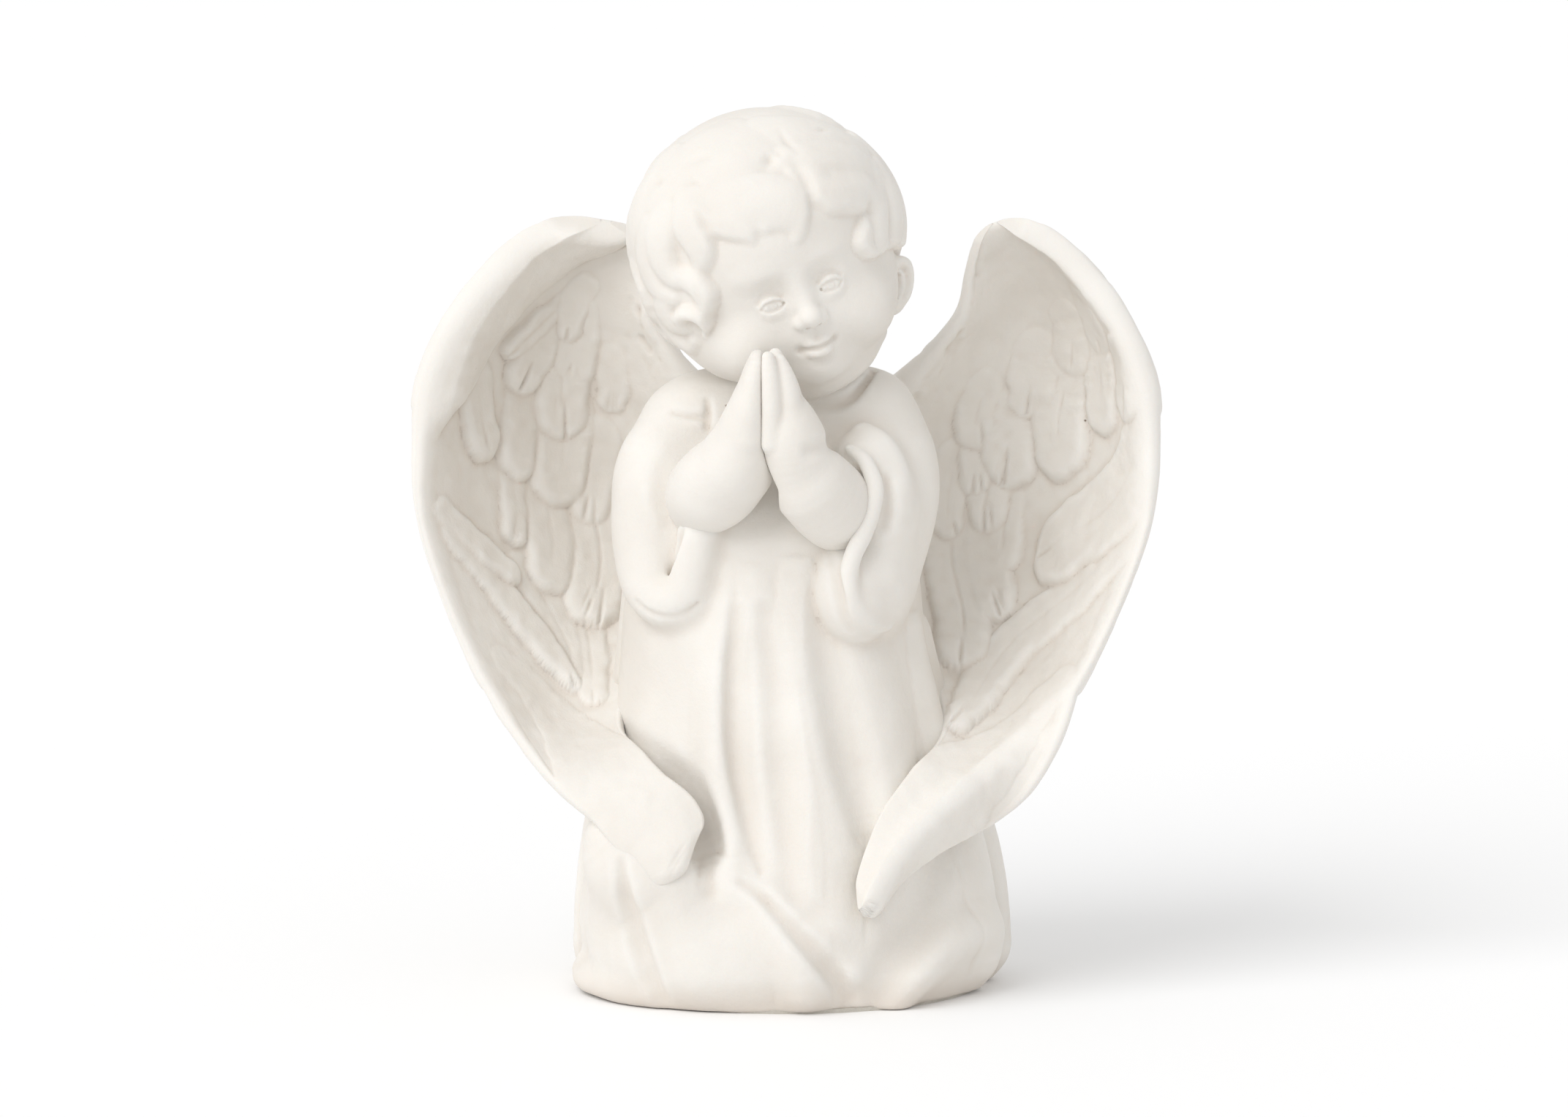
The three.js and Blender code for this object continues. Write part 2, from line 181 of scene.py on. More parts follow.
class Clay:
    """Signed distances in millimetres on a grid, negative inside, that forms join and cut."""

    def __init__(self, x, y, z):
        self.axes = [np.asarray(axis, np.float32) for axis in (x, y, z)]
        self.field = np.full([len(axis) for axis in self.axes], FAR, np.float32)

    def near(self, form, blend):
        margin = blend + REACH
        spans = tuple(
            slice(*np.searchsorted(axis, (low - margin, high + margin)))
            for axis, low, high in zip(self.axes, form.low, form.high)
        )
        x, y, z = (axis[span] for axis, span in zip(self.axes, spans))
        return spans, form.distance(x[:, None, None], y[None, :, None], z[None, None, :])

    def add(self, form, blend=0.8):
        spans, distance = self.near(form, blend)
        self.field[spans] = soft_min(self.field[spans], distance, blend)

    def cut(self, form, blend=0.8):
        spans, distance = self.near(form, blend)
        self.field[spans] = -soft_min(-self.field[spans], distance, blend)

    def front(self, x, z, out=0.0):
        """How far back the clay's front lies at x and z, less the distance out."""
        i, k = (np.searchsorted(axis, value) for axis, value in zip(self.axes[::2], (x, z)))
        return self.axes[1][np.argmax(self.field[i, :, k] < 0)] - out

    def ridge(self, blend, *knots, step=1.2):
        """Adds a round tube through (x, y, z, radius) knots."""
        self.add(tube(knots, step), blend)

    def groove(self, blend, *knots, step=1.2):
        """Cuts a round tube through (x, y, z, radius) knots."""
        self.cut(tube(knots, step), blend)

    def crease(self, blend, *knots):
        """Cuts a groove through (x, z, radius, out) knots over the clay's front as it stands."""
        self.groove(blend, *((x, self.front(x, z, out), z, r) for x, z, r, out in knots))

    def sample(self, points):
        """The field and its slope at points, by straight interpolation."""
        spots = []
        for axis, values in zip(self.axes, points.T):
            index = np.interp(values, axis, np.arange(len(axis)))
            spots.append(np.clip(index, 0, len(axis) - 1.001))
        base = [s.astype(int) for s in spots]
        part = [s - b for s, b in zip(spots, base)]
        value = 0
        slope = [0, 0, 0]
        for corner in range(8):
            bits = [(corner >> k) & 1 for k in range(3)]
            at = self.field[tuple(b + bit for b, bit in zip(base, bits))]
            shares = [p if bit else 1 - p for p, bit in zip(part, bits)]
            value = value + at * shares[0] * shares[1] * shares[2]
            for k in range(3):
                others = shares[(k + 1) % 3] * shares[(k + 2) % 3]
                slope[k] = slope[k] + at * others * (1 if bits[k] else -1)
        for k in range(3):
            slope[k] = slope[k] / (self.axes[k][base[k] + 1] - self.axes[k][base[k]])
        return value, np.stack(slope, 1)

    def surface(self):
        """The clay's skin as points and quads, drawn onto the zero of the field."""
        grid = vdb.FloatGrid(FAR)
        grid.copyFromArray(self.field)
        spots, quads = grid.convertToQuads(isovalue=0.0)
        points = np.stack(
            [np.interp(s, np.arange(len(a)), a) for s, a in zip(spots.T, self.axes)], 1
        )
        for _ in range(2):
            value, slope = self.sample(points)
            size = np.maximum((slope**2).sum(1), 0.05)
            points = points - np.clip(value / size, -0.3, 0.3)[:, None] * slope
        return points, quads.astype(np.int64)


# ---------------------------------------------------------------- noise

LATTICE = 32  # cells after which the random values repeat


def noise(points, grain, seed):
    """Smooth random values between -1 and 1, about grain millimetres across."""
    table = np.random.default_rng(seed).uniform(-1, 1, (LATTICE, LATTICE, LATTICE))
    spot = points / grain
    cell = np.floor(spot).astype(int)
    t = spot - cell
    t = t * t * (3 - 2 * t)
    value = 0
    for corner in range(8):
        bits = [(corner >> k) & 1 for k in range(3)]
        share = 1
        for k in range(3):
            share = share * (t[..., k] if bits[k] else 1 - t[..., k])
        value = value + share * table[tuple((cell[..., k] + bits[k]) % LATTICE for k in range(3))]
    return value


# ---------------------------------------------------------------- meshes


def edges_of(faces):
    """Each side of each face, once per face."""
    return np.concatenate([np.stack([faces[:, i], np.roll(faces, -1, 1)[:, i]], 1) for i in range(4)])


def averaged(values, faces):
    """The mean of each point's neighbours."""
    start, end = edges_of(faces).T
    count = len(values)
    total = [np.bincount(start, c[end], count) + np.bincount(end, c[start], count) for c in values.T]
    degree = np.bincount(start, minlength=count) + np.bincount(end, minlength=count)
    return np.stack(total, 1) / np.maximum(degree, 1)[:, None]


def relaxed(points, faces, times=1, strength=0.5):
    for _ in range(times):
        points = points + strength * (averaged(points, faces) - points)
    return points


def normals_of(points, faces):
    a, b, c, d = (points[faces[:, i]] for i in range(4))
    across = np.cross(c - a, d - b)
    total = [sum(np.bincount(corner, side, len(points)) for corner in faces.T) for side in across.T]
    total = np.stack(total, 1)
    return total / np.maximum(np.linalg.norm(total, axis=1), 1e-12)[:, None]


def largest_piece(points, faces):
    """Only the biggest connected piece of a mesh."""
    label = np.arange(len(points))
    edges = edges_of(faces)
    while True:
        low = label.copy()
        np.minimum.at(low, edges[:, 0], label[edges[:, 1]])
        np.minimum.at(low, edges[:, 1], label[edges[:, 0]])
        low = low[low]
        if (low == label).all():
            break
        label = low
    keep = label == np.bincount(label).argmax()
    new = np.cumsum(keep) - 1
    return points[keep], new[faces[keep[faces[:, 0]]]]


def placed(name, data):
    """A new object in the scene."""
    made = bpy.data.objects.new(name, data)
    bpy.context.scene.collection.objects.link(made)
    return made


CAVITY_SPREAD = 6  # rounds of smoothing between a point and what its hollow is measured from
CAVITY_MOST = 0.25  # the depth, in millimetres, that counts as a full hollow or crest
WAVES = ((0.10, 7.0, 51), (0.05, 3.0, 52))  # height, grain and seed of every surface's unevenness


def make_piece(name, node, points, faces):
    """A finished resin piece that stands for a CAD node, from points in the figure's frame."""
    normal = normals_of(points, faces)
    volume = (points[faces[:, 0]] * np.cross(points[faces[:, 1]], points[faces[:, 2]])).sum()
    volume += (points[faces[:, 0]] * np.cross(points[faces[:, 2]], points[faces[:, 3]])).sum()
    if volume < 0:
        faces = faces[:, ::-1]
        normal = -normal
    wave = sum(tall * noise(points, grain, seed) for tall, grain, seed in WAVES)
    points = points + normal * wave[:, None]
    wide = relaxed(points, faces, CAVITY_SPREAD, 1.0)
    cavity = np.clip(((wide - points) * normal).sum(1), -CAVITY_MOST, CAVITY_MOST)
    mesh = bpy.data.meshes.new(name)
    mesh.vertices.add(len(points))
    mesh.vertices.foreach_set("co", ((points + SHIFT) * MM).astype(np.float32).ravel())
    mesh.loops.add(faces.size)
    mesh.loops.foreach_set("vertex_index", faces.astype(np.int32).ravel())
    mesh.polygons.add(len(faces))
    mesh.polygons.foreach_set("loop_start", np.arange(0, faces.size, 4, dtype=np.int32))
    mesh.update(calc_edges=True)
    mesh.validate()
    mesh.polygons.foreach_set("use_smooth", np.ones(len(mesh.polygons), bool))
    layer = mesh.attributes.new("cavity", "FLOAT", "POINT")
    layer.data.foreach_set("value", cavity.astype(np.float32))
    mesh.materials.append(resin)
    piece = placed(name, mesh)
    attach(piece, "root")
    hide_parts(node)


# ---------------------------------------------------------------- head

HEAD_CENTRE = (-3.6, -8, 168)
HEAD_TURN = turned(nod=6, tilt=-19, turn=14)
SCALP = 29.6  # the radius of the scalp
FINE = 0.7  # the step along the small tubes of the face


def on_head(azimuth, elevation, out=0.0):
    """A point over the scalp: degrees round from the face towards the figure's left, and up."""
    a = math.radians(azimuth)
    e = math.radians(elevation)
    r = SCALP + out
    return (r * math.sin(a) * math.cos(e), -r * math.cos(a) * math.cos(e), r * math.sin(e))


def face(clay):
    clay.add(ball((0, 1, 0.5), (28, 28.4, 28)), 0)
    clay.add(ball((0, -9, -12), (20.5, 17.6, 15.5)), 5)
    clay.add(ball((0, -12, 6), (20, 16, 15)), 6)
    for side in (-1, 1):
        clay.add(ball((side * 11, -5.5, -14), (13.4, 14, 12.6)), 5)
        clay.add(ball((side * 11.5, -16.4, -15.8), (9.4, 9.8, 8.8)), 4)
        clay.add(ball((side * 6.8, -22, 1.2), (6, 5.2, 3.2)), 3)
    clay.add(ball((0, -19.6, -22.5), (6.2, 6.4, 5)), 4)
    clay.add(ball((0, -14, -25), (10, 9, 4.4)), 5)
    clay.add(ball((0, -21.6, -15.8), (7.4, 5.8, 6.4)), 3)
    for side in (-1, 1):
        clay.cut(ball((side * 6.4, -30.2, -4.2), (4.4, 4.2, 3)), 3)
    nose(clay)
    mouth(clay)
    for side in (-1, 1):
        eye(clay, side)


def nose(clay):
    clay.ridge(2.8, (0, -25.8, -1.5, 1.8), (0, -26.8, -6.5, 1.7), (0, -28.4, -10.6, 2))
    clay.add(ball((0, -29, -11.4), (2.3, 2.3, 2)), 1.6)
    for side in (-1, 1):
        clay.add(ball((side * 2.5, -27.4, -12.2), (1.4, 1.9, 1.4)), 1.3)
        clay.cut(ball((side * 1.2, -28.4, -13.5), (0.6, 0.9, 0.5)), 0.5)


def mouth(clay):
    upper = [(-3.4, -25.6, -18.2, 0.55), (-1.6, -26.9, -17.4, 1), (0, -27.2, -17.6, 0.95)]
    lower = [(-3, -25.4, -19, 0.5), (-1.5, -26.7, -20, 1.2), (0, -27, -20.2, 1.4)]
    slit = [(-4, -25.9, -18.4, 0.32), (-1.8, -27.5, -18.6, 0.52), (0, -27.9, -18.8, 0.6)]
    for shape in (upper, lower):
        clay.ridge(1, *whole_arch(shape), step=FINE)
    clay.groove(0.4, *whole_arch(slit), step=FINE)
    clay.groove(1.2, (0, -28.4, -14.8, 0.5), (0, -28.4, -16.2, 0.7), step=FINE)
    for side in (-1, 1):
        clay.cut(ball((side * 4.2, -26.8, -18.5), (0.6, 0.9, 0.7)), 1.6)
    clay.cut(ball((0, -28.1, -22.5), (3.6, 1.7, 0.9)), 1.6)


def whole_arch(half):
    """A left half and its mirror image, as one run of knots."""
    return half + [(-x, y, z, r) for x, y, z, r in reversed(half[:-1])]


EYE_RADIUS = 4.4
EYE_RIMS = [
    [(-33, -6, 0.14), (-18, 5, 0.22), (2, 10, 0.24), (24, 6.5, 0.22), (38, -4, 0.14)],
    [(-33, -6, 0.14), (-16, -15, 0.2), (6, -18.5, 0.2), (26, -14, 0.2), (38, -4, 0.14)],
]


def eye(clay, side):
    centre = np.array((side * 6.7, -22.3, -6.4))

    def on_eye(out, *knots):
        """Knots over the eyeball, from (degrees outwards, degrees up, radius)."""
        for across, up, radius in knots:
            a, b = math.radians(side * across), math.radians(up)
            away = (math.sin(a) * math.cos(b), -math.cos(a) * math.cos(b), math.sin(b))
            yield (*(centre + (EYE_RADIUS + out) * np.array(away)), radius)

    clay.add(ball(centre, EYE_RADIUS), 0.6)
    # the soft upper lid, whose edge overhangs the eye, and the flatter lower lid
    lid = on_eye(-0.55, (-34, 4, 0.5), (-18, 16, 0.95), (3, 21, 1.1), (24, 17, 0.95), (40, 4, 0.5))
    clay.ridge(1.4, *lid, step=FINE)
    pouch = on_eye(-0.45, (-30, -24, 0.4), (-6, -31, 0.7), (20, -30, 0.7), (36, -21, 0.4))
    clay.ridge(1.8, *pouch, step=FINE)
    for rim in EYE_RIMS:
        clay.groove(0.5, *on_eye(0.2, *rim), step=FINE)
    fold = on_eye(0.42, (-30, 17, 0.12), (-14, 30, 0.25), (6, 34, 0.28), (26, 29, 0.25), (42, 14, 0.12))
    clay.groove(1, *fold, step=FINE)
    round_iris = np.linspace(0, 2 * math.pi, 17)
    iris = [(13.5 * math.cos(t) + 1, 11 * math.sin(t) - 5, 0.18) for t in round_iris]
    clay.groove(0.4, *on_eye(0.1, *iris), step=FINE)
    *pupil, size = next(on_eye(0.3, (1, -5, 0.45)))
    clay.cut(ball(pupil, size), 0.4)


EAR_LEAN = (0, 12, -52)


def ear(clay):
    """The one ear that shows, on the figure's left."""
    base = np.array((22.8, -4.8, -17.2))
    lean = turned(*EAR_LEAN)

    def at(x, y, z, *radius):
        return (*(base + lean @ np.array((x, 1.08 * y, 0.84 * z))), *radius)

    clay.add(ball(base, (2.6, 4.7, 5.6), EAR_LEAN), 2.6)
    clay.add(ball(at(-1.6, -3.2, -1), (3.6, 3.8, 5.2), EAR_LEAN), 3)
    rim = [(1, -3.8, 1.6), (1.9, -3, 5), (2.2, 0.4, 6.6), (2.4, 3.6, 4.4), (2.2, 4.2, 0)]
    rim += [(1.6, 2.8, -4.4), (1, -0.4, -6.4), (0.6, -2.8, -4.8)]
    clay.ridge(0.9, *(at(*spot, 1.3) for spot in rim), step=0.9)
    clay.add(ball(at(0.8, -0.6, -5.6), (1.9, 2.3, 2.2), EAR_LEAN), 1.2)
    clay.cut(ball(at(3, -0.2, 0.6), (1.8, 2.6, 3.3), EAR_LEAN), 0.6)
    clay.ridge(0.6, at(1.6, 1.9, -2.4, 0.7), at(1.9, 2.1, 1.8, 0.9), at(1.8, 0.3, 3.9, 0.7))
    hook = [(2.2, 0.6, 2.2, 0.8), (2, -1.2, 1.8, 0.9), (1.8, -1.9, -0.6, 1), (1.8, -1.5, -2.8, 0.9)]
    clay.groove(0.5, *(at(*knot) for knot in hook), step=FINE)
    clay.add(ball(at(1.5, -3.3, -0.8), (1, 1.1, 1.6)), 0.7)


# the edge of the hair round the face and the nape, as (azimuth, elevation)
HAIRLINE = [
    (17.3, 25.6), (12.8, 18.2), (9.7, 13), (4.6, 9.8), (1.2, 12.2), (-1.2, 16.6), (-4.1, 18.6), (-8, 17.2),
    (-10.6, 20.4), (-12, 18.6), (-13.2, 15), (-16.6, 17.5), (-22.6, 20.2), (-28.2, 22.8), (-31.2, 22.6),
    (-31.2, 18.8), (-32.7, 14.5), (-36.7, 12), (-39.6, 9.2), (-39.2, 6.1), (-37.6, 2.7), (-37.7, -1.4),
    (-40.8, -6), (-45.2, -11.8), (-47, -16), (-51, -20), (-52, -24), (-52, -30), (-51, -38), (-54, -46),
    (-66, -52), (-85, -54), (-115, -54), (-150, -55), (-179.9, -55), (179.9, -55), (140, -54), (115, -50),
    (98, -42), (88, -30), (78, -20), (66, -15), (55, -12), (45, -12), (37, -9), (31.6, -4), (31.4, 0),
    (34, 3.6), (38.6, 6.6), (45, 9.4), (42, 11.2), (36, 12.6), (28.8, 14.6), (22.4, 17.4), (18.6, 21.8),
]
# (azimuth, elevation, half width, height) along each lock
LOCKS = [
    # the fringe
    [(-30, 40, 5, 0.5), (-16, 36, 6.5, 0.9), (0, 31, 7, 1.1), (9, 25, 6, 1.2), (10.5, 18, 4.5, 1.1),
     (6.5, 12.5, 2.8, 0.7)],
    [(-34, 31, 3, 0.4), (-25, 27, 5, 0.9), (-18, 24.5, 4.5, 1), (-14.4, 20, 3, 0.8),
     (-13.2, 16.5, 1.8, 0.5)],
    [(-12, 27, 3.4, 0.5), (-6, 23, 3.2, 0.8), (-1, 21, 2.6, 0.6)],
    # the big swoop to the figure's left
    [(24, 42, 4, 0.5), (23, 34, 5, 1), (27, 26, 6, 1.4), (35, 21, 6.4, 1.6), (46, 17.5, 6, 1.3),
     (56, 12, 4.4, 0.9)],
    [(22, 47, 4, 0.5), (33, 41.5, 5, 1.1), (48, 34, 5.4, 1.1), (62, 24, 5, 0.9), (72, 10, 4, 0.6)],
    # the figure's left temple
    [(48, 15, 3, 0.4), (41, 8, 3.4, 0.9), (35.6, 1, 3.4, 1.1), (35.6, -4.5, 2.8, 0.9), (41, -10, 2.2, 0.5)],
    [(60, 14, 4, 0.7), (52, 4, 4, 1), (48, -5, 3.4, 0.8), (52, -12, 2.2, 0.4)],
    [(76, 18, 4.4, 0.7), (69, 3, 4.4, 1), (63, -9, 3.2, 0.6)],
    [(92, 30, 4.8, 0.7), (88, 12, 4.8, 1), (80, -4, 4, 0.9), (74, -15, 2.8, 0.5)],
    # the figure's right temple
    [(-44, 42, 5, 0.6), (-41.5, 31, 5.6, 1.2), (-37.5, 22, 5, 1.4), (-38, 14.5, 3.6, 1),
     (-42, 9, 2.6, 0.5)],
    [(-60, 36, 5, 0.7), (-64, 25, 5, 1.1), (-62.5, 15, 4.4, 1.2), (-57, 9, 3.6, 1), (-50, 10.5, 2.6, 0.6)],
    [(-53, 8.5, 3.2, 0.6), (-44.5, 5, 3.8, 1.2), (-41.5, -2, 3.4, 1.2), (-45, -8, 2.8, 0.9),
     (-51, -7.6, 2, 0.5)],
    [(-72, 30, 4.8, 0.7), (-76, 15, 4.8, 1.1), (-71, 3, 4.2, 1), (-63, 0, 3.2, 0.7)],
    [(-64, 2, 3, 0.5), (-72, -6, 4, 1), (-71, -14, 3.8, 1), (-65, -16, 2.6, 0.6)],
    [(-64, -17, 1.8, 0.5), (-62.5, -11, 2.1, 1.1), (-55.5, -7.6, 2.2, 1.4), (-49, -9.6, 2.2, 1.4),
     (-47.2, -15.5, 2.1, 1.2), (-51, -21, 1.9, 0.8)],
    [(-80, -12, 3.6, 0.8), (-78, -22, 3.6, 1.1), (-70, -28, 3.3, 1.1), (-62, -24, 2.3, 0.7)],
    [(-80, -31, 3.2, 0.8), (-72, -38, 3.2, 1.1), (-62, -37, 2.8, 1.1), (-55, -30.5, 2.1, 0.7)],
    [(-76, -46, 2.8, 0.7), (-65, -48, 2.8, 0.9), (-56, -43, 2.3, 0.7)],
    # low waves over the crown
    [(10, 62, 6, 0.4), (-6, 58, 7, 0.6), (-24, 53, 7, 0.7), (-42, 44, 6, 0.5)],
    [(30, 66, 6, 0.4), (46, 56, 6, 0.8), (60, 44, 6, 0.8), (74, 30, 5, 0.6)],
    [(-10, 74, 7, 0.4), (-40, 66, 8, 0.7), (-60, 56, 7, 0.8), (-76, 42, 6, 0.7)],
    [(-84, 60, 7, 0.6), (-88, 42, 7, 0.9), (-92, 24, 6, 0.9), (-92, 8, 5, 0.7)],
]
# (azimuth, elevation, half width, depth) along each parting
PARTINGS = [
    [(18.5, 27, 1, 0.6), (19.6, 32, 1.4, 0.9), (20.2, 38, 1.6, 0.7), (21, 44, 1.6, 0.3)],
    [(27, 31.5, 1.6, 0.2), (33, 30, 2, 0.5), (40, 26.5, 2, 0.5), (48, 22.5, 1.6, 0.2)],
    [(-36, 34, 0.8, 0.3), (-33.4, 28.5, 1.1, 0.8), (-31.4, 24, 1, 0.6)],
    [(32.6, 59.6, 0.7, 0.1), (28.1, 53.1, 0.9, 0.4), (26.7, 45.4, 0.9, 0.2)],
    [(9.6, 52, 0.7, 0.2), (9.5, 49.6, 1.2, 0.7), (4, 48, 1.6, 0.3), (-3, 47.6, 1.6, 0.1)],
    [(16.9, 51.4, 0.8, 0.2), (17, 49.6, 0.9, 0.4)],
    [(-49, 56, 1.2, 0.1), (-37.5, 58.8, 1.2, 0.4), (-28, 59.6, 1.2, 0.1)],
    [(-47, 47.2, 0.7, 0.1), (-41, 47.9, 0.8, 0.4), (-35, 45.6, 0.7, 0.2)],
    [(-76, 47, 1.2, 0.1), (-70, 48.6, 1.2, 0.4), (-66, 50, 1, 0.1)],
    [(52, 48.6, 0.6, 0.1), (57, 47.4, 0.7, 0.4), (61, 45.2, 0.6, 0.1)],
    [(-52, 19, 2.2, 0.7), (-51.2, 14.6, 2.2, 0.9)],
    [(-55.8, -13.4, 1.3, 1), (-54.6, -16, 1.2, 0.9)],
    [(47, 11.4, 1.6, 0.8), (43, 6, 1.4, 0.5)],
]
MAP_SPAN = 72.0  # how far the map of the hair reaches from the middle of the face
MAP_STEP = 0.45
LIFT = 1.75  # the locks' heights are given before this much is made of them
DEEPEN = 1.3  # and so are the partings' depths
HAIR_LAP = 1.0  # how far the hair spreads past the hairline over the face
HAIR_EDGE = 2.8  # how far in from the hairline the hair's edge rounds over
UNDER_FACE = 2.9  # how far inside the scalp's sphere the hair's edge starts, below the skin


def flattened(x, y, z):
    """Directions laid flat round the face, in millimetres of arc over the scalp."""
    away = np.sqrt(x * x + y * y + z * z) + 1e-6
    side = np.sqrt(x * x + z * z) + 1e-6
    arc = np.minimum(np.arccos(np.clip(-y / away, -1, 1)) * SCALP, MAP_SPAN)
    return arc * x / side, arc * z / side, away


class Pelt:
    """A map of hair heights over the scalp that locks are laid on and partings cut into."""

    def __init__(self):
        self.span = np.arange(-MAP_SPAN, MAP_SPAN + MAP_STEP, MAP_STEP)
        self.u, self.v = np.meshgrid(self.span, self.span, indexing="ij")
        self.height = np.zeros(self.u.shape)

    def along(self, knots, closed=False):
        """For each run of a path on the map: distances, and the blended end values of the run."""
        rows = []
        for azimuth, elevation, *rest in knots:
            u, v, _ = flattened(*on_head(azimuth, elevation))
            rows.append((float(u), float(v), *rest))
        path = np.array(rows) if closed else smooth_path(np.array(rows), 1.5)
        ends = np.roll(path, -1, 0) if closed else path[1:]
        for a, b in zip(path, ends):
            run = b[:2] - a[:2]
            size = max(run @ run, 1e-9)
            t = np.clip(((self.u - a[0]) * run[0] + (self.v - a[1]) * run[1]) / size, 0, 1)
            d = np.hypot(self.u - a[0] - t * run[0], self.v - a[1] - t * run[1])
            yield a, b, t, d

    def lay(self, knots):
        for a, b, t, d in self.along(knots):
            wide, tall = (a[k] + (b[k] - a[k]) * t for k in (2, 3))
            dome = LIFT * tall * np.sqrt(np.clip(1 - (d / wide) ** 2, 0, 1))
            self.height = np.maximum(self.height, dome)

    def part(self, knots):
        deep = np.zeros(self.u.shape)
        for a, b, t, d in self.along(knots):
            wide, depth = (a[k] + (b[k] - a[k]) * t for k in (2, 3))
            deep = np.maximum(deep, DEEPEN * depth * np.exp(-((d / wide) ** 2)))
        self.height = self.height - deep

    def within(self, hairline):
        """The distance inside the hairline, negative over the face."""
        nearest = np.full(self.u.shape, 99)
        face = np.zeros(self.u.shape, bool)
        for a, b, _, d in self.along(hairline, closed=True):
            nearest = np.minimum(nearest, d)
            spans = (a[1] > self.v) != (b[1] > self.v)
            rise = b[1] - a[1] if b[1] != a[1] else 1e-9
            face ^= spans & (self.u < a[0] + (self.v - a[1]) / rise * (b[0] - a[0]))
        return np.where(face, -nearest, nearest)

    def softened(self, values, times):
        for _ in range(times):
            grown = np.pad(values, 1, mode="edge")
            beside = grown[:-2, 1:-1] + grown[2:, 1:-1] + grown[1:-1, :-2] + grown[1:-1, 2:]
            values = 0.5 * values + 0.125 * beside
        return values

    def form(self):
        """The hair as a solid: a thicker coat over the crown, thinner low down and in front."""
        arc = np.hypot(self.u, self.v) + 1e-6
        rho = arc / SCALP
        elevation = np.degrees(np.arcsin(np.clip(np.sin(rho) * self.v / arc, -1, 1)))
        azimuth = np.degrees(np.arctan2(np.sin(rho) * self.u / arc, np.cos(rho)))
        full = np.maximum(smoothstep(elevation, 10, 34), smoothstep(azimuth, 50, 80))
        coat = -0.5 + 1.3 * full * (1 - smoothstep(np.degrees(rho), 104, 126))
        ragged = 0.35 * noise(np.stack([self.u, self.v, 0 * self.u], -1), 3, 51)
        inside = self.softened(self.within(HAIRLINE), 8) + HAIR_LAP + ragged
        inside = np.clip(inside / HAIR_EDGE, -1, 1)
        edge = np.where(inside > 0, np.sqrt(np.clip(1 - (1 - inside) ** 2, 0, 1)), inside)
        radius = SCALP - UNDER_FACE + (coat + self.height + UNDER_FACE) * edge
        last = len(self.span) - 1.001

        def distance(x, y, z):
            u, v, away = flattened(*np.broadcast_arrays(x, y, z))
            i, j = (np.clip((c + MAP_SPAN) / MAP_STEP, 0, last) for c in (u, v))
            a, b = i.astype(int), j.astype(int)
            f, g = i - a, j - b
            low = radius[a, b] * (1 - g) + radius[a, b + 1] * g
            high = radius[a + 1, b] * (1 - g) + radius[a + 1, b + 1] * g
            return 0.8 * (away - low * (1 - f) - high * f)

        reach = SCALP + 4
        return Form((-reach,) * 3, (reach,) * 3, distance)


def hair(clay):
    pelt = Pelt()
    for knots in LOCKS:
        pelt.lay(knots)
    pelt.height = pelt.softened(pelt.height, 3)
    for knots in PARTINGS:
        pelt.part(knots)
    pelt.height = pelt.softened(pelt.height, 1)
    mass = Clay(*clay.axes)
    mass.add(pelt.form(), 0)
    back_locks(mass)
    clay.field = soft_min(clay.field, mass.field, 0.7)


LOCK_SINK = 0.6  # the share of its radius that a lock at the back is sunk into the scalp


def back_locks(clay):
    """Rows of hooked locks round the sides and back, each row staggered on the one above."""
    random = np.random.default_rng(7)
    for row, (top, radius) in enumerate([(58, 4.6), (34, 4.4), (10, 4.2), (-12, 3.8)]):
        for azimuth in np.arange(100 + 12 * (row % 2), 275, 24):
            side = 1 if (row + azimuth // 24) % 2 else -1
            sway = random.uniform(0.7, 1.3) * side / math.cos(math.radians(top - 12))
            a = azimuth + random.uniform(-3, 3)
            knots = [(a - 2 * sway, top, radius * 0.8), (a + 5 * sway, top - 9, radius)]
            knots += [(a + 4 * sway, top - 19, radius * 0.9), (a - 4 * sway, top - 26, radius * 0.6)]
            knots += [(a - 9 * sway, top - 23, radius * 0.35)]
            clay.ridge(1.2, *[(*on_head(a, e, -r * LOCK_SINK), r) for a, e, r in knots], step=1.6)


def neck(clay):
    """Down from the skull to inside the collar, upright although the head is tilted."""
    foot = HEAD_TURN.T @ (np.array((0.5, -3, 128)) - HEAD_CENTRE)
    top = np.array((0, -2, -18))
    clay.ridge(3, (*foot, 12), (*0.45 * foot + 0.55 * top, 12.5), (*top, 14.5))
    roll = [(-9, -12.5, -27.5, 4.2), (0, -14.5, -28.6, 4.8), (9, -12, -27.4, 4.6), (15, -5, -25.6, 4.2)]
    clay.ridge(3, *roll)


def build_head():
    clay = Clay(
        graded(-35, 35, 0.5, (-13, 13), 0.3),
        graded(-35, 35, 0.5, (-32.5, -22), 0.3),
        graded(-46, 34, 0.5, (-24, 1), 0.3),
    )
    face(clay)
    neck(clay)
    hair(clay)
    ear(clay)
    points, faces = largest_piece(*clay.surface())
    points = points @ HEAD_TURN.T + HEAD_CENTRE
    make_piece("head", "head_casting", points, faces)


# ---------------------------------------------------------------- body

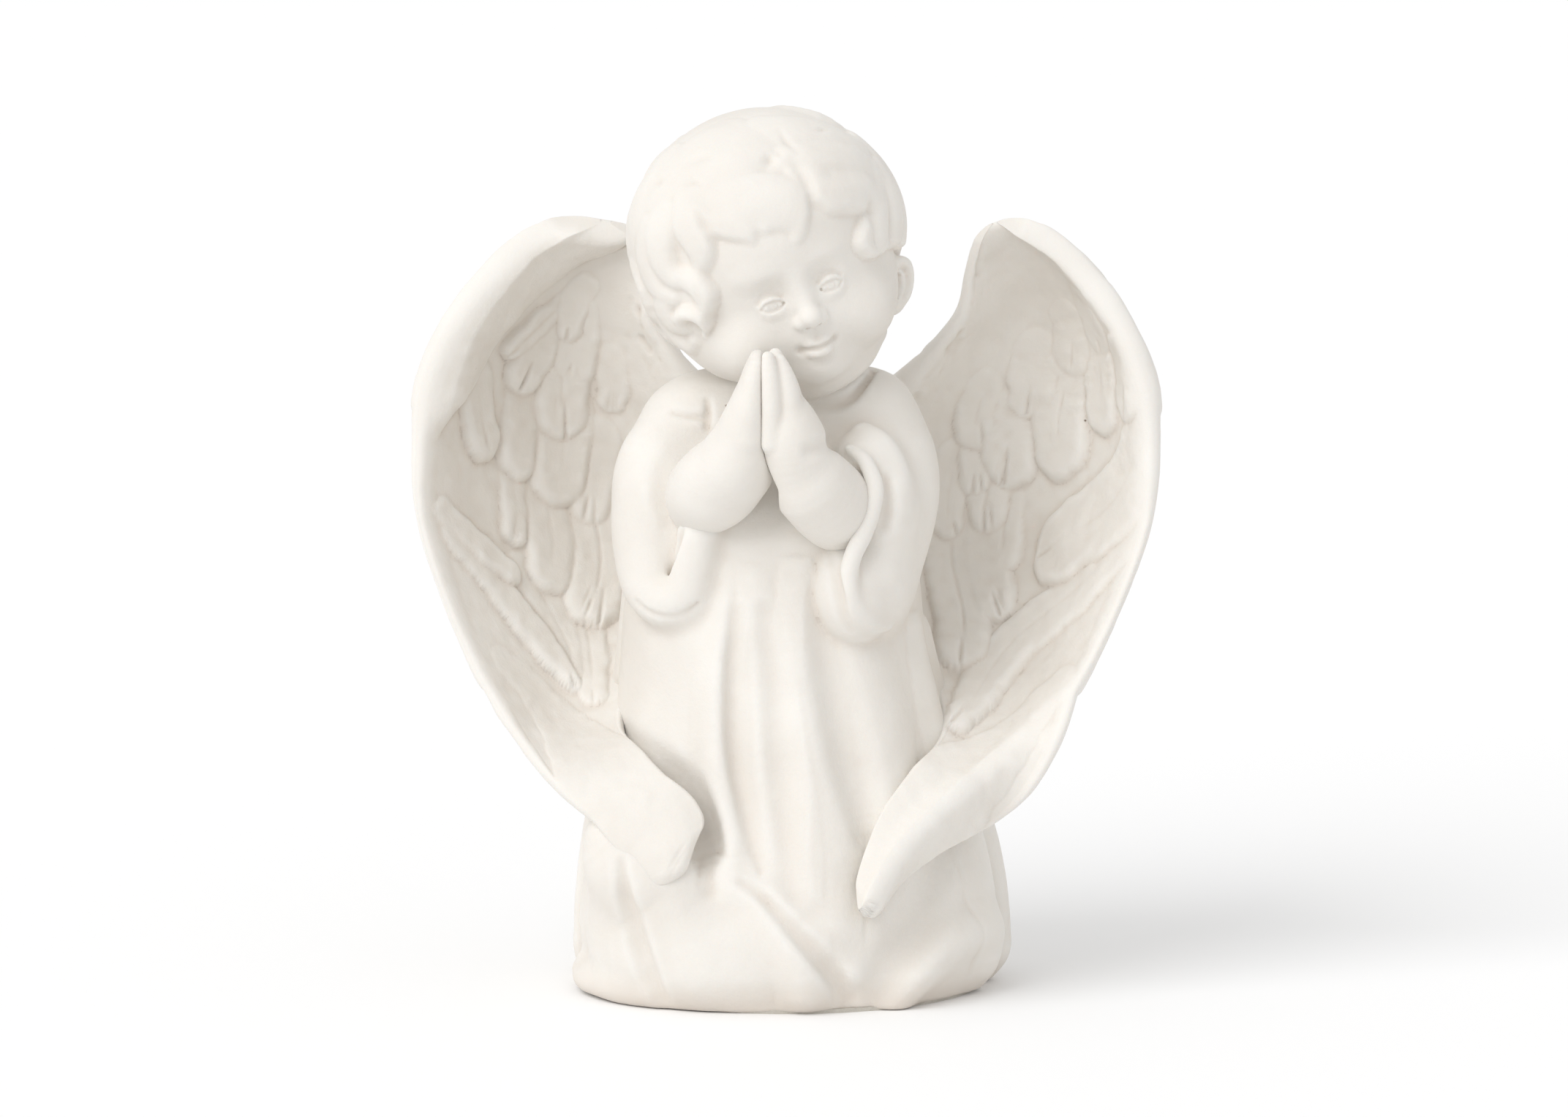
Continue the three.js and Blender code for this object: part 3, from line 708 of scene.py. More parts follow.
FOOT_RIM = 0.1  # how far the rim of the foot clears the table
PLUG_SEAT = 5.5  # how deep the recess for the plug is
SHOULDER_TOP = 140
BODY_STEP = 0.62  # the grid's step, in millimetres
ROBE_WIDTH = [(0.4, 44.5), (5, 46.8), (15, 47.6), (25, 46.3), (40, 42.5), (58, 37.5), (75, 34.5)]
ROBE_WIDTH += [(95, 32.5), (112, 33), (121, 32), (128, 29), (133, 25), (137, 20), (140, 14)]
ROBE_FRONT = [(1.2, 42), (8, 45.5), (20, 44), (35, 40), (50, 35.8), (70, 32.4), (90, 30.6)]
ROBE_FRONT += [(104, 29.4), (112, 26), (119, 22), (126, 18.5), (133, 15.5), (137, 14), (140, 12.5)]
ROBE_BACK = [(1.2, 38), (8, 41), (20, 40), (35, 35.5), (50, 30), (70, 24), (90, 20.5)]
ROBE_BACK += [(107, 19.5), (118, 19.5), (126, 18), (133, 16), (137, 14), (140, 12)]
ROBE_CENTRE = [(0, 1.4), (35, 0.4), (80, -2.5), (110, -2.5), (140, -0.5)]


def profile(table):
    """A softened curve through (height, value) pairs."""
    heights = np.arange(-20, 180, 0.5)
    values = np.interp(heights, *zip(*table))
    window = np.hanning(15)
    smooth = np.convolve(np.pad(values, 7, "edge"), window / window.sum(), "valid")
    return lambda z: np.interp(z, heights, smooth)


robe_width, robe_front, robe_back, robe_centre = (
    profile(table) for table in (ROBE_WIDTH, ROBE_FRONT, ROBE_BACK, ROBE_CENTRE)
)


def robe():
    def distance(x, y, z):
        across = x - robe_centre(z)
        wide = robe_width(z)
        deep = np.where(y < 0, robe_front(z), robe_back(z))
        near = np.sqrt((across / wide) ** 2 + (y / deep) ** 2)
        far = np.sqrt((across / wide**2) ** 2 + (y / deep**2) ** 2)
        lean = (robe_width(z + 1) - robe_width(z - 1)) / 2
        gap = near * (near - 1) / np.maximum(far, 1e-4) / np.sqrt(1 + lean**2)
        return soft_max(soft_max(gap, z - SHOULDER_TOP, 4), FOOT_RIM - z, 2).astype(np.float32)

    return Form((-50, -48, 0), (50, 44, 142), distance)


def soft_max(a, b, blend):
    return -soft_min(-a, -b, blend)


def on_robe(x, z, out=0.0):
    """A point on the front of the robe, moved out along its normal."""
    across = (x - robe_centre(z)) / robe_width(z)
    y = -robe_front(z) * math.sqrt(max(1 - across**2, 0.01))
    normal = np.array((across / robe_width(z), y / robe_front(z) ** 2, 0))
    normal = normal / np.linalg.norm(normal)
    return (x + out * normal[0], y + out * normal[1], z)


def round_robe(angle, z, out=0.0):
    """A point on the robe at degrees round from its front towards the figure's left."""
    a = math.radians(angle)
    deep = robe_front(z) if math.cos(a) > 0 else robe_back(z)
    wide = robe_width(z)
    return (robe_centre(z) + (wide + out) * math.sin(a), -(deep + out) * math.cos(a), z)


def drape(work, blend, *knots, place=on_robe):
    """Adds or cuts a tube along the robe through (across, height, radius, out) knots."""
    work(tube([(*place(x, z, out), r) for x, z, r, out in knots], step=2.0), blend)


def body_folds(clay):
    # the narrow ridge left of the middle, and the valleys and ridges beside it
    drape(clay.add, 4, (-11, 97, 0.5, -2.4), (-11.6, 88, 1.8, -2.4), (-12.6, 78, 3.4, -2.8),
          (-13.4, 66, 4, -2.8), (-12.8, 54, 4, -2.4), (-11.2, 42, 3.2, -1.6), (-10.2, 34, 2.6, -1.2),
          (-9.6, 28, 2.2, -1.2))
    drape(clay.add, 6, (-5.4, 95, 0.5, -2.6), (-5.2, 86, 1.6, -2.8), (-5, 78, 3, -3.4),
          (-3.7, 66, 5, -4.2), (-1.6, 54, 5, -4), (1.3, 41, 5, -4.1), (4, 28, 4, -3.8))
    drape(clay.add, 7, (4.6, 97, 0.5, -2.6), (5.2, 88, 2, -3), (5.8, 78, 4, -4.2), (7, 64, 6, -5),
          (8.6, 52, 6, -4.9), (11.6, 33, 6, -5), (13, 20, 4, -3.9))
    drape(clay.add, 7, (15, 92, 0.5, -2.6), (17, 83, 2, -3.2), (19.5, 74, 5, -4.9), (22.1, 64, 6, -5.2),
          (24.4, 52, 6, -5.2), (25, 40, 5, -4.7))
    drape(clay.cut, 5, (-2.8, 88, 0.5, 2.4), (-2.4, 80, 1.4, 2.2), (-1.3, 70, 2.4, 2.6), (0, 56, 3.2, 3),
          (1.2, 44, 2.6, 2.6), (2.4, 34, 1.4, 2.5), (3.8, 27, 0.4, 2.6))
    drape(clay.cut, 5, (9, 92, 0.5, 2.4), (9.9, 82, 1.6, 2.4), (11.8, 72, 2.6, 2.7), (14.6, 60, 3.4, 3),
          (18.2, 48, 3, 2.8), (20, 40, 1.6, 2))
    drape(clay.cut, 1.8, (-9.4, 92, 0.2, 1), (-9.7, 84, 0.5, 0.5), (-10.3, 76.5, 0.9, 0.2),
          (-10.3, 68.6, 1.1, 0), (-10, 60.6, 1.2, -0.2), (-8.8, 52.7, 1.2, -0.2), (-6.5, 43.8, 1.1, 0),
          (-4.8, 36.9, 0.8, 0.2), (-3.2, 31, 0.4, 0.5))
    drape(clay.cut, 4, (-8.6, 88, 0.4, 2.2), (-8.2, 76, 2.2, 2.3), (-8, 66, 2.6, 2.3),
          (-7.6, 56, 2.4, 2.2), (-5.6, 46, 1.9, 2.1), (-4, 39, 1.2, 2.2), (-2.4, 33.5, 0.4, 2.2))
    # the hollow that the figure's right wing lies over
    drape(clay.cut, 4, (-39, 60, 1.2, 2.4), (-31, 55, 4, 3.4), (-23.5, 49.5, 5.4, 2.6),
          (-17.6, 42.4, 4.6, 1.8), (-15, 36.6, 3.4, 1.8), (-13.8, 32, 1.6, 2.2), (-13, 28, 0.4, 2.6))
    # the raised lap of cloth low on the figure's right, its hem and the creases round it
    clay.add(ball((-11, -25, 12), (25, 20.6, 16), (0, 0, -5)), 6)
    drape(clay.add, 6, (-12, 29.5, 2, -1.4), (-7, 27.5, 2.6, -1.6), (-1.4, 22.8, 3, -1.2),
          (3.4, 17.6, 3.4, -1.2), (6.4, 11.8, 3.4, -1.2), (7, 5.5, 3, -1.2))
    clay.crease(2.2, (-7.4, 29.8, 0.2, 0.3), (-4.6, 28, 0.6, 0.1), (-1.6, 25.6, 0.9, 0.1),
                (1.8, 22.4, 1.2, 0.1), (5.9, 18, 1.6, 0.2), (10, 13.6, 2, 0.4), (13.4, 9, 2.2, 0.6),
                (16.6, 3, 2, 0.8))
    clay.crease(2.4, (-34, 34, 0.2, 0.5), (-33.6, 29, 1.2, 0.3), (-32.6, 23, 2, 0.3),
                (-30.8, 16, 2.5, 0.4), (-28.6, 9, 2.6, 0.6), (-26.4, 3, 2.2, 0.8))
    # the hem stands out round the figure's right side
    clay.ridge(4, (-27, -36.5, 3.6, 2.4), (-37, -29.5, 3.4, 2.8), (-43, -20, 3.4, 2.8),
               (-44.8, -8, 3.4, 2.6), (-44.4, 6, 3.6, 2.2))
    # the low fold on the figure's left and the valley above it
    drape(clay.add, 4, (47, 14, 3.5, -1.5), (42, 14.5, 4.4, -1.6), (36.5, 12, 4.6, -1.6),
          (31.5, 7.4, 4, -1.3), (27, 2, 3.2, -1))
    drape(clay.cut, 5, (36, 36, 2, 2.2), (34.4, 28, 4.6, 2.8), (31.5, 20.4, 4.6, 2.8),
          (26.6, 13, 3.6, 2.2), (21.6, 5, 2.6, 1.8))
    drape(clay.cut, 0.6, (19.2, 31, 0.3, 0.2), (14.7, 25.8, 0.4, 0.25), (10.2, 20.5, 0.3, 0.2))
    back_folds(clay)


def back_folds(clay):
    """Long folds down the sides and the back, each wider towards the hem."""
    random = np.random.default_rng(11)
    for angle in (72, 96, 120, 143, 166, 190, 212, 236, 260):
        top = random.uniform(78, 104)
        lean = random.uniform(-5, 5)
        wide = random.uniform(4.2, 6.2)
        drape(clay.add, 6, (angle, top, 1.5, -1.5),
              (angle + lean * 0.3, top * 0.7, wide * 0.7, -wide * 0.45),
              (angle + lean * 0.8, top * 0.4, wide, -wide * 0.55), (angle + lean, 9, wide, -wide * 0.6),
              place=round_robe)
        between = angle + 11 + lean * 0.6
        drape(clay.cut, 4, (between, top * 0.75, 1, 0.8), (between, top * 0.4, 2.6, 1.6),
              (between, 1, 3.2, 1.4), place=round_robe)


def sleeves(clay):
    # the figure's right: a wide loop that hangs under the elbow and turns up again inside
    clay.add(ball((-19.5, -2, 126.6), (11.8, 12.2, 10.6)), 5)
    clay.ridge(2.4, (-22, -4, 124, 10.6), (-26.2, -8.5, 117, 11.2), (-27.4, -11.5, 108.5, 10.8),
               (-28.2, -14.8, 99.5, 9.2), (-27.6, -18.6, 92.8, 7.6), (-24.2, -22.2, 90, 6.7),
               (-20.2, -24.6, 92, 5.8), (-18.4, -26.2, 98, 5.1), (-17.6, -27, 105, 4.9))
    clay.groove(1, (-22.2, -30, 106.5, 1.5), (-22.9, -27.4, 102, 1.5), (-23.3, -25, 97.5, 1.3),
                (-23.4, -24.6, 93.8, 1), (-22.8, -26, 91, 0.4))
    clay.crease(1.4, (-31.6, 89.6, 0.1, 0.2), (-28.6, 87.6, 0.3, 0.1), (-24.6, 86.6, 0.45, 0.1),
                (-21, 87.4, 0.4, 0.1), (-17.8, 90.2, 0.15, 0.2))
    clay.groove(3, (-16, -18, 127, 1), (-21, -20, 126, 1.6), (-25.4, -22, 121, 1.6),
                (-26.2, -23, 114, 1.6), (-24.6, -24.6, 108, 1.4))
    # a pinch in the cloth on top of the shoulder
    clay.crease(1.4, (-24.2, 130.4, 0.1, 0.2), (-21, 129.9, 0.35, 0.1), (-17.4, 129.6, 0.55, 0.1))
    clay.crease(1.4, (-16.6, 133.4, 0.2, 0.2), (-16.2, 130.6, 0.6, 0.1), (-16.4, 127.6, 0.5, 0.1))
    # the figure's left: a wide cuff that stands round the forearm, with its lower edge hanging
    clay.add(ball((17.5, -2, 128.5), (12, 12.5, 11)), 5)
    clay.ridge(3, (19, -2, 127, 10.4), (22.8, -5, 119, 11.6), (23.6, -8.5, 110, 11.2),
               (22.4, -12, 101, 10.2), (20.8, -14.4, 93.5, 9.2), (19.4, -16, 89.4, 8.2))
    clay.add(ball((22.6, -18.4, 110.5), (8.6, 12.4, 14), (0, -6, 0)), 3)
    clay.add(ball((20.6, -19, 96), (9.4, 12.4, 14), (0, -6, 0)), 3)
    clay.add(ball((16.4, -24.4, 92.6), (9.4, 9.6, 12.4), (0, -4, 0)), 1.2)
    clay.add(ball((19.4, -18.4, 121), (7.4, 11, 7)), 3)
    clay.ridge(1.3, (15.6, -27, 124.6, 0.9), (19.4, -30, 122, 1.6), (21.6, -31.4, 116.6, 2),
               (20.9, -32.6, 111, 2.1), (18.9, -33.6, 106, 2.1), (16.9, -34.2, 101.6, 2),
               (16, -34.2, 97.4, 2.1), (16.3, -33.8, 93.3, 2.2), (17.9, -32, 89.1, 2.1),
               (20.6, -28.6, 86, 2), (23.5, -24.4, 85, 1.6))
    clay.groove(1.2, (10.6, -29.4, 102.6, 0.8), (12.3, -33.6, 98, 1.5), (13.6, -34.8, 92.4, 1.7),
                (14.7, -34, 87.4, 1.2), (16.4, -32.2, 84.4, 0.5))
    clay.crease(3, (24.4, 118, 0.2, 0.4), (24.6, 113, 0.6, 0.3), (23.6, 108, 0.5, 0.3))
    clay.ridge(4, (18.6, -19, 127.6, 1), (22.8, -23, 124.4, 1.8), (26.2, -24.8, 118.4, 2),
               (26.4, -26, 112, 1.2))


def collar(clay):
    """The crease round the base of the neck."""
    clay.groove(2.2, (1, -16.6, 133.8, 0.4), (5, -16.4, 133.4, 0.7), (9, -15.6, 132.8, 0.8),
                (12.5, -14.2, 132.9, 0.8), (15.8, -12.4, 134.2, 0.8), (18.6, -8.4, 136.8, 0.7),
                (20, -3, 138.8, 0.4))


# the mass of cloth under the tip of the figure's right wing, which joins it to the robe
WELD = [(-35.6, -30, 39, 6.6), (-34.2, -31.6, 36, 8.8), (-32, -32.6, 32, 11), (-28, -34, 29.6, 11.6)]
WELD += [(-24, -34.6, 27.4, 11), (-21, -33.4, 18, 12), (-18, -32.5, 12, 12)]


def build_body():
    clay = Clay(*(np.arange(*span, BODY_STEP) for span in ((-52, 52), (-50, 46), (-1.5, 144))))
    clay.add(robe(), 0)
    clay.ridge(7, *WELD)
    clay.add(ball((-28.5, -25.6, 16), (14, 13.4, 18)), 7)
    body_folds(clay)
    table = Form((-60, -60, -4), (60, 60, FOOT_RIM + 0.1), lambda x, y, z: z - FOOT_RIM + 0 * x + 0 * y)
    clay.cut(table, 0.8)
    sleeves(clay)
    collar(clay)
    clay.cut(plug_seat(), 0.3)
    points, faces = largest_piece(*clay.surface())
    points = relaxed(points, faces, 1, 0.4)
    make_piece("robe_and_sleeves", "body_casting", points, faces)


def plug_seat():
    """The recess in the foot that the plug and the felt sit in."""

    def distance(x, y, z):
        low = 3.0
        deepness = np.where(y < 0, robe_front(low), robe_back(low)) - 3.4
        near = np.sqrt(((x - robe_centre(low)) / (robe_width(low) - 3.4)) ** 2 + (y / deepness) ** 2)
        return np.maximum((near - 1) * deepness, z - PLUG_SEAT).astype(np.float32)

    return Form((-50, -50, -5), (50, 50, PLUG_SEAT), distance)


# ---------------------------------------------------------------- forearms and hands

HAND_STEP = 0.34  # the grid's step, in millimetres


def build_left_arm():
    """The figure's left forearm, whose hand shows its back."""
    clay = Clay(*(np.arange(*span, HAND_STEP) for span in ((-8, 34), (-52, -8), (92, 153))))
    clay.ridge(0, (14, -20, 107.5, 6.6), (13.2, -26, 110, 8.6), (11.2, -31, 113.4, 9.4),
               (8, -35, 117.4, 8.6))
    clay.ridge(2, (8, -35, 117.4, 8.5), (5.6, -37.2, 121.6, 7.6), (4.4, -38.2, 125.6, 6.9))
    clay.add(ball((3.6, -39, 129), (6.4, 7.4, 9.6), (0, -8, 0)), 4)
    clay.groove(3, (8, -45.6, 126.4, 0.3), (12.4, -40, 127.2, 0.7), (12.6, -33, 127, 0.7))
    fingers = [
        [(-0.6, -43.4, 128, 2.7), (-0.6, -44, 136, 2.5), (-1.1, -43.2, 142.4, 2.2),
         (-1.5, -42.2, 146.4, 1.5)],
        [(3.4, -42, 129, 3), (3.2, -42.2, 136, 2.8), (2.2, -41.4, 141.6, 2.4), (1, -40.4, 145.4, 1.6)],
        [(3.6, -38.2, 130, 3), (3, -38.6, 138, 2.7), (1.4, -38.6, 143, 2.3), (0, -38.4, 146.6, 1.6)],
        [(2.8, -35, 129, 2.8), (2, -35.6, 137, 2.5), (0.4, -36, 142, 2.1), (-0.8, -36.2, 145.6, 1.5)],
    ]
    thumb = [(1, -34, 124, 2.8), (-0.6, -31.6, 131, 2.4), (-1.2, -31.2, 137, 1.9)]
    palm = Form((-20, -60, 80), (-1.6, 0, 160), palm_plane(-1))
    finish_hand("left_forearm", clay, fingers, 0.9, thumb, palm)


def finish_hand(node, clay, fingers, webbing, thumb, palm):
    for knots in fingers:
        clay.ridge(webbing, *knots)
    clay.ridge(1.5, *thumb)
    clay.cut(palm, 0.6)
    make_piece(f"{node}_and_hand", node, *largest_piece(*clay.surface()))


def palm_plane(side):
    """Where the two palms meet: a plane that leans to the figure's left near the wrists."""

    def distance(x, y, z):
        middle = -2.8 + 3.6 * np.clip((128 - z) / 11, 0, 1) ** 1.5
        return (side * (middle + side * 0.08 - x) + 0 * y).astype(np.float32)

    return distance


def build_right_arm():
    """The figure's right forearm, whose hand shows its thumb's side."""
    clay = Clay(*(np.arange(*span, HAND_STEP) for span in ((-34, 6), (-52, -8), (96, 153))))
    clay.ridge(0, (-17.4, -17, 110, 7), (-16.4, -24.6, 113.4, 8.9), (-13.4, -30.6, 116.8, 9.6),
               (-9.4, -35.2, 121, 8.8))
    clay.add(ball((-7.2, -37.8, 126.4), (6.4, 8, 9)), 4)
    clay.add(ball((-6, -39.4, 133), (4.8, 7.2, 8.5), (0, 8, 0)), 3)
    fingers = [
        [(-5.6, -43.4, 129, 2.8), (-5.1, -44, 136, 2.6), (-4.5, -43.2, 141.4, 2.3),
         (-3.9, -42.2, 144.6, 1.5)],
        [(-6.2, -41, 131, 2.9), (-5.6, -41.4, 137.6, 2.7), (-4.8, -41, 142.2, 2.3),
         (-3.9, -40.4, 145.8, 1.6)],
        [(-6.2, -38.2, 131, 2.9), (-5.6, -38.6, 138, 2.7), (-4.8, -38.6, 142.8, 2.3),
         (-3.9, -38.4, 146.2, 1.6)],
        [(-6, -35.4, 130, 2.8), (-5.4, -35.8, 136, 2.5), (-4.6, -36.2, 141, 2.1),
         (-3.9, -36.4, 144.6, 1.5)],
    ]
    thumb = [(-5.4, -34, 125, 2.8), (-4.9, -31.6, 131, 2.4), (-4.4, -31.2, 136.6, 1.9)]
    palm = Form((-4.6, -60, 80), (20, 0, 160), palm_plane(1))
    finish_hand("right_forearm", clay, fingers, 1.8, thumb, palm)


# ---------------------------------------------------------------- wings

WING_INNER = [(43, 20, 168.5), (40, 22, 158), (37, 22, 147), (24, 21, 133), (12, 20.5, 122)]
WING_INNER += [(10, 21, 106), (13, 20, 91), (26, 15, 77), (35.5, -10, 60), (29, -26, 51.5)]
WING_INNER += [(23, -34, 43.5), (19.5, -39.5, 34), (17.6, -43, 26.5)]
WING_BELLY = [(46.5, 20, 170), (52, 27, 162.5), (57, 32, 151), (57, 35, 137), (53, 36, 121)]
WING_BELLY += [(50, 34, 105.5), (48, 28, 90), (50, 14, 75.5), (49, -8, 60), (39, -28, 48)]
WING_BELLY += [(31, -36.5, 39), (24, -41.5, 30.5), (19, -44.3, 23.5)]
WING_OUTER = [(50, 19, 170.5), (62, 16, 164), (74, 10, 151), (81.5, 4, 135.5), (83, -1, 119.5)]
WING_OUTER += [(82, -6, 105.5), (77, -12, 91), (69.5, -18, 75.5), (60, -25, 60.5), (48.5, -32, 44.5)]
WING_OUTER += [(38.5, -38, 34.5), (28, -42.5, 25.5), (20.5, -44.8, 20.3)]
RIM_GIRTH = [(0, 3.4), (0.12, 4.2), (0.28, 4), (0.42, 2.4), (1, 1.6)]
ROOT_GIRTH = [(0, 2), (0.2, 2.6), (0.33, 7), (0.5, 7), (0.6, 2.8), (1, 1.6)]
BLADE = 2.5  # half the sheet's thickness between its rim and its root
WING_LONG = 190
WING_WIDE = 55
WING_ROWS = 340
WING_COLUMNS = 140
ROUNDING = (0.026, 0.042)  # the share of the wing's length that its top and tip are rounded over
# Where the raised rim of the figure's right wing starts, as (s, v), and how tall it stands.
RIM_START = [(0, 0.05), (0.033, 0.15), (0.088, 0.44), (0.143, 0.61), (0.188, 0.71), (0.233, 0.77)]
RIM_START += [(0.28, 0.85), (0.31, 0.92), (0.34, 1), (1, 1)]
RIM_TALL = 3.6
# The crease that the tip of the figure's left wing folds back along, and how steeply.
FOLD = [(0.62, 0.95), (0.647, 0.86), (0.698, 0.74), (0.74, 0.58), (0.797, 0.46), (0.868, 0.4)]
FOLD += [(0.93, 0.42), (1, 0.5)]
FOLD_SLOPE = 1.3
# (s, share of the width that is left) where the folded tip is trimmed on its outer side
TRIM = [(0, 1), (0.62, 1), (0.7, 0.95), (0.76, 0.84), (0.82, 0.72), (0.9, 0.64), (1, 0.8)]
FLARE = 0.75  # how much broader the other wing's tip is than its blade would make it
TIP_WIDE = 26  # the width of the wing about the crease, in millimetres
BED = 0.9  # how deep the bare sheet lies under its face, which the feathers rise from


def smoothstep(x, low, high):
    t = np.clip((x - low) / (high - low), 0, 1)
    return t * t * (3 - 2 * t)


def spline(knots, s):
    """Points of the even smooth curve through the knots, at shares s from 0 to 1."""
    ends = with_ends(knots)
    spot = np.clip(s, 0, 1) * (len(knots) - 1)
    first = np.minimum(spot.astype(int), len(knots) - 2)
    return curve_at(*(ends[first + k] for k in range(4)), (spot - first)[..., None])


class Wing:
    """A wing's curved middle sheet: s runs from its top to its tip, v from its inner edge out."""

    def __init__(self, side, inward, lift):
        self.side = side
        self.inward = inward
        self.lift = lift

    def middle(self, s, v):
        s, v = np.broadcast_arrays(np.asarray(s, float), np.asarray(v, float))
        inner, belly, outer = (spline(k, s) for k in (WING_INNER, WING_BELLY, WING_OUTER))
        shift = self.inward * (1 - smoothstep(s, 0, 0.42))
        inner[..., 0] -= shift
        belly[..., 0] -= shift / 2
        bend = 2 * belly - 0.5 * inner - 0.5 * outer
        v = v[..., None]
        p = (1 - v) ** 2 * inner + 2 * v * (1 - v) * bend + v**2 * outer
        p[..., 2] += self.lift * smoothstep(s, 0.6, 1)
        return p * (self.side, 1, 1)

    def normal(self, s, v):
        """Towards the hollow front of the wing."""
        e = 1e-3
        down = self.middle(np.minimum(s + e, 1), v) - self.middle(np.maximum(s - e, 0), v)
        across = self.middle(s, v + e) - self.middle(s, v - e)
        n = np.cross(down, across) * self.side
        return n / np.maximum(np.linalg.norm(n, axis=-1), 1e-9)[..., None]


def smooth_line(knots, s):
    """A smooth run through (s, value) knots."""
    steps = np.linspace(0, 1, 401)
    line = np.interp(steps, *zip(*knots))
    kernel = np.hanning(29)
    line = np.convolve(np.pad(line, 14, mode="edge"), kernel / kernel.sum(), mode="valid")
    return np.interp(s, steps, line)


def crease_line(fold, s):
    """Where a fold's crease runs across the wing, beyond its edge above the fold."""
    return smooth_line([(0, 1.2), (0.6, 1.05), *fold], s)


def half_thickness(s, v):
    rim = np.maximum(np.interp(s, *zip(*RIM_GIRTH)) - BLADE, -0.9) * np.exp(-(((1 - v) / 0.13) ** 2))
    root = (np.interp(s, *zip(*ROOT_GIRTH)) - BLADE) * np.exp(-((v / 0.25) ** 2))
    edge = np.clip(np.minimum(v, 1 - v) / 0.06, 0, 1)
    return (BLADE + rim + root) * np.sqrt(1 - (1 - edge) ** 2)


class Plumage:
    """Heights of overlapping feathers over the points of a sheet."""

    def __init__(self, wing, s, v):
        self.wing = wing
        self.s = s
        self.v = v
        self.points = wing.middle(s, v)
        self.height = np.zeros(s.shape)
        self.random = np.random.default_rng(61)

    def feather(self, knots, tall=1.1, shaft=0.0, base=0.3):
        """One feather from its root to its tip through (s, v, half width) knots."""
        knots = np.array(knots, float)
        flat = [knots[:, 0] * WING_LONG, knots[:, 1] * WING_WIDE, knots[:, 2] * 0, knots[:, 2]]
        path = smooth_path(np.column_stack(flat), 2.5)
        spots = self.wing.middle(path[:, 0] / WING_LONG, path[:, 1] / WING_WIDE)
        radius = path[:, 3]
        total = len(spots) - 1
        box = np.abs(self.points - spots.mean(0)).max(-1) < np.ptp(spots, axis=0).max() + radius.max() + 3
        p = self.points[box]
        gap, along, off = (np.full(len(p), start) for start in (99, 0, 99))
        ragged = 0.55 * noise(p, 3.1, 21) + 0.5 * noise(p, 7.3, 22)
        for i in range(total):
            way = spots[i + 1] - spots[i]
            t = np.clip((p - spots[i]) @ way / max(way @ way, 1e-9), 0, 1)
            d = np.linalg.norm(p - spots[i] - t[:, None] * way, axis=1)
            r = radius[i] + (radius[i + 1] - radius[i]) * t
            better = d - r < gap
            gap = np.where(better, d - r, gap)
            off = np.where(better, d, off)
            along = np.where(better, (i + t) / total, along)
        gap = gap + ragged
        strokes = self.strokes(p, spots, radius)
        inside = np.clip(-gap / min(radius.max() * 0.5, 3.2), 0, 1)
        pillow = np.sqrt(1 - (1 - inside) ** 2)
        rise = tall * (base + (1 - base) * along) * pillow
        rise = rise - strokes * np.clip(inside * 2, 0, 1) * tall * 0.5
        if shaft:
            length = smoothstep(along, 0.1, 0.3) * (1 - smoothstep(along, 0.8, 0.95))
            rise = rise - shaft * np.exp(-((off / 0.5) ** 2)) * length
        old = self.height[box]
        edge = np.exp(-((gap / 0.9) ** 2)) * smoothstep(along, 0.35, 0.8) * (rise >= old - 0.5)
        worn = np.clip(0.5 + 0.9 * noise(p, 9, 23), 0, 1)
        self.height[box] = np.maximum(rise, old) - 0.11 * tall * edge * worn

    def strokes(self, p, spots, radius):
        """Short grooves that fan in from a feather's tip, as a share of full depth."""
        way = spots[-1] - spots[-2]
        way = way / np.linalg.norm(way)
        cut = np.zeros(len(p))
        for k in range(self.random.integers(1, 4)):
            lean = self.random.uniform(-0.5, 0.5)
            side = np.cross(way, (0, -1, 0.3))
            start = spots[-1] + radius[-1] * (0.75 * way + 0.9 * lean * side)
            back = -way * self.random.uniform(0.7, 1.5) * radius[-1] - side * 0.4 * lean * radius[-1]
            t = np.clip((p - start) @ back / (back @ back), 0, 1)
            d = np.linalg.norm(p - start - t[:, None] * back, axis=1)
            cut = np.maximum(cut, np.exp(-((d / 0.5) ** 2)) * (1 - t * t))
        return cut

    def rim(self, start, tall):
        """A raised round band from the (s, v) border to the wing's outer edge."""
        border = smooth_line(start, self.s) + 0.012 * noise(self.points, 6, 31)
        inside = np.clip((self.v - border) * WING_WIDE / 2.4, 0, 1)
        across = np.clip((self.v - border) / np.maximum(1 - border, 0.05), 0, 1)
        fade = 1 - smoothstep(self.s, 0.27, 0.33)
        band = tall * np.sqrt(np.sin(np.pi * across**0.8))
        self.height = self.height * (1 - inside * fade) + band * fade
        step = np.exp(-(((self.v - border) * WING_WIDE / 0.9) ** 2))
        self.height -= 0.3 * step * fade

    def crest(self, line, tall, wide):
        """A rounded ridge along an (s, v) line, from where the line starts."""
        off = (self.v - crease_line(line, self.s)) * TIP_WIDE / wide
        self.height += tall * np.exp(-(off**2)) * smoothstep(self.s, line[0][0] + 0.02, line[0][0] + 0.1)


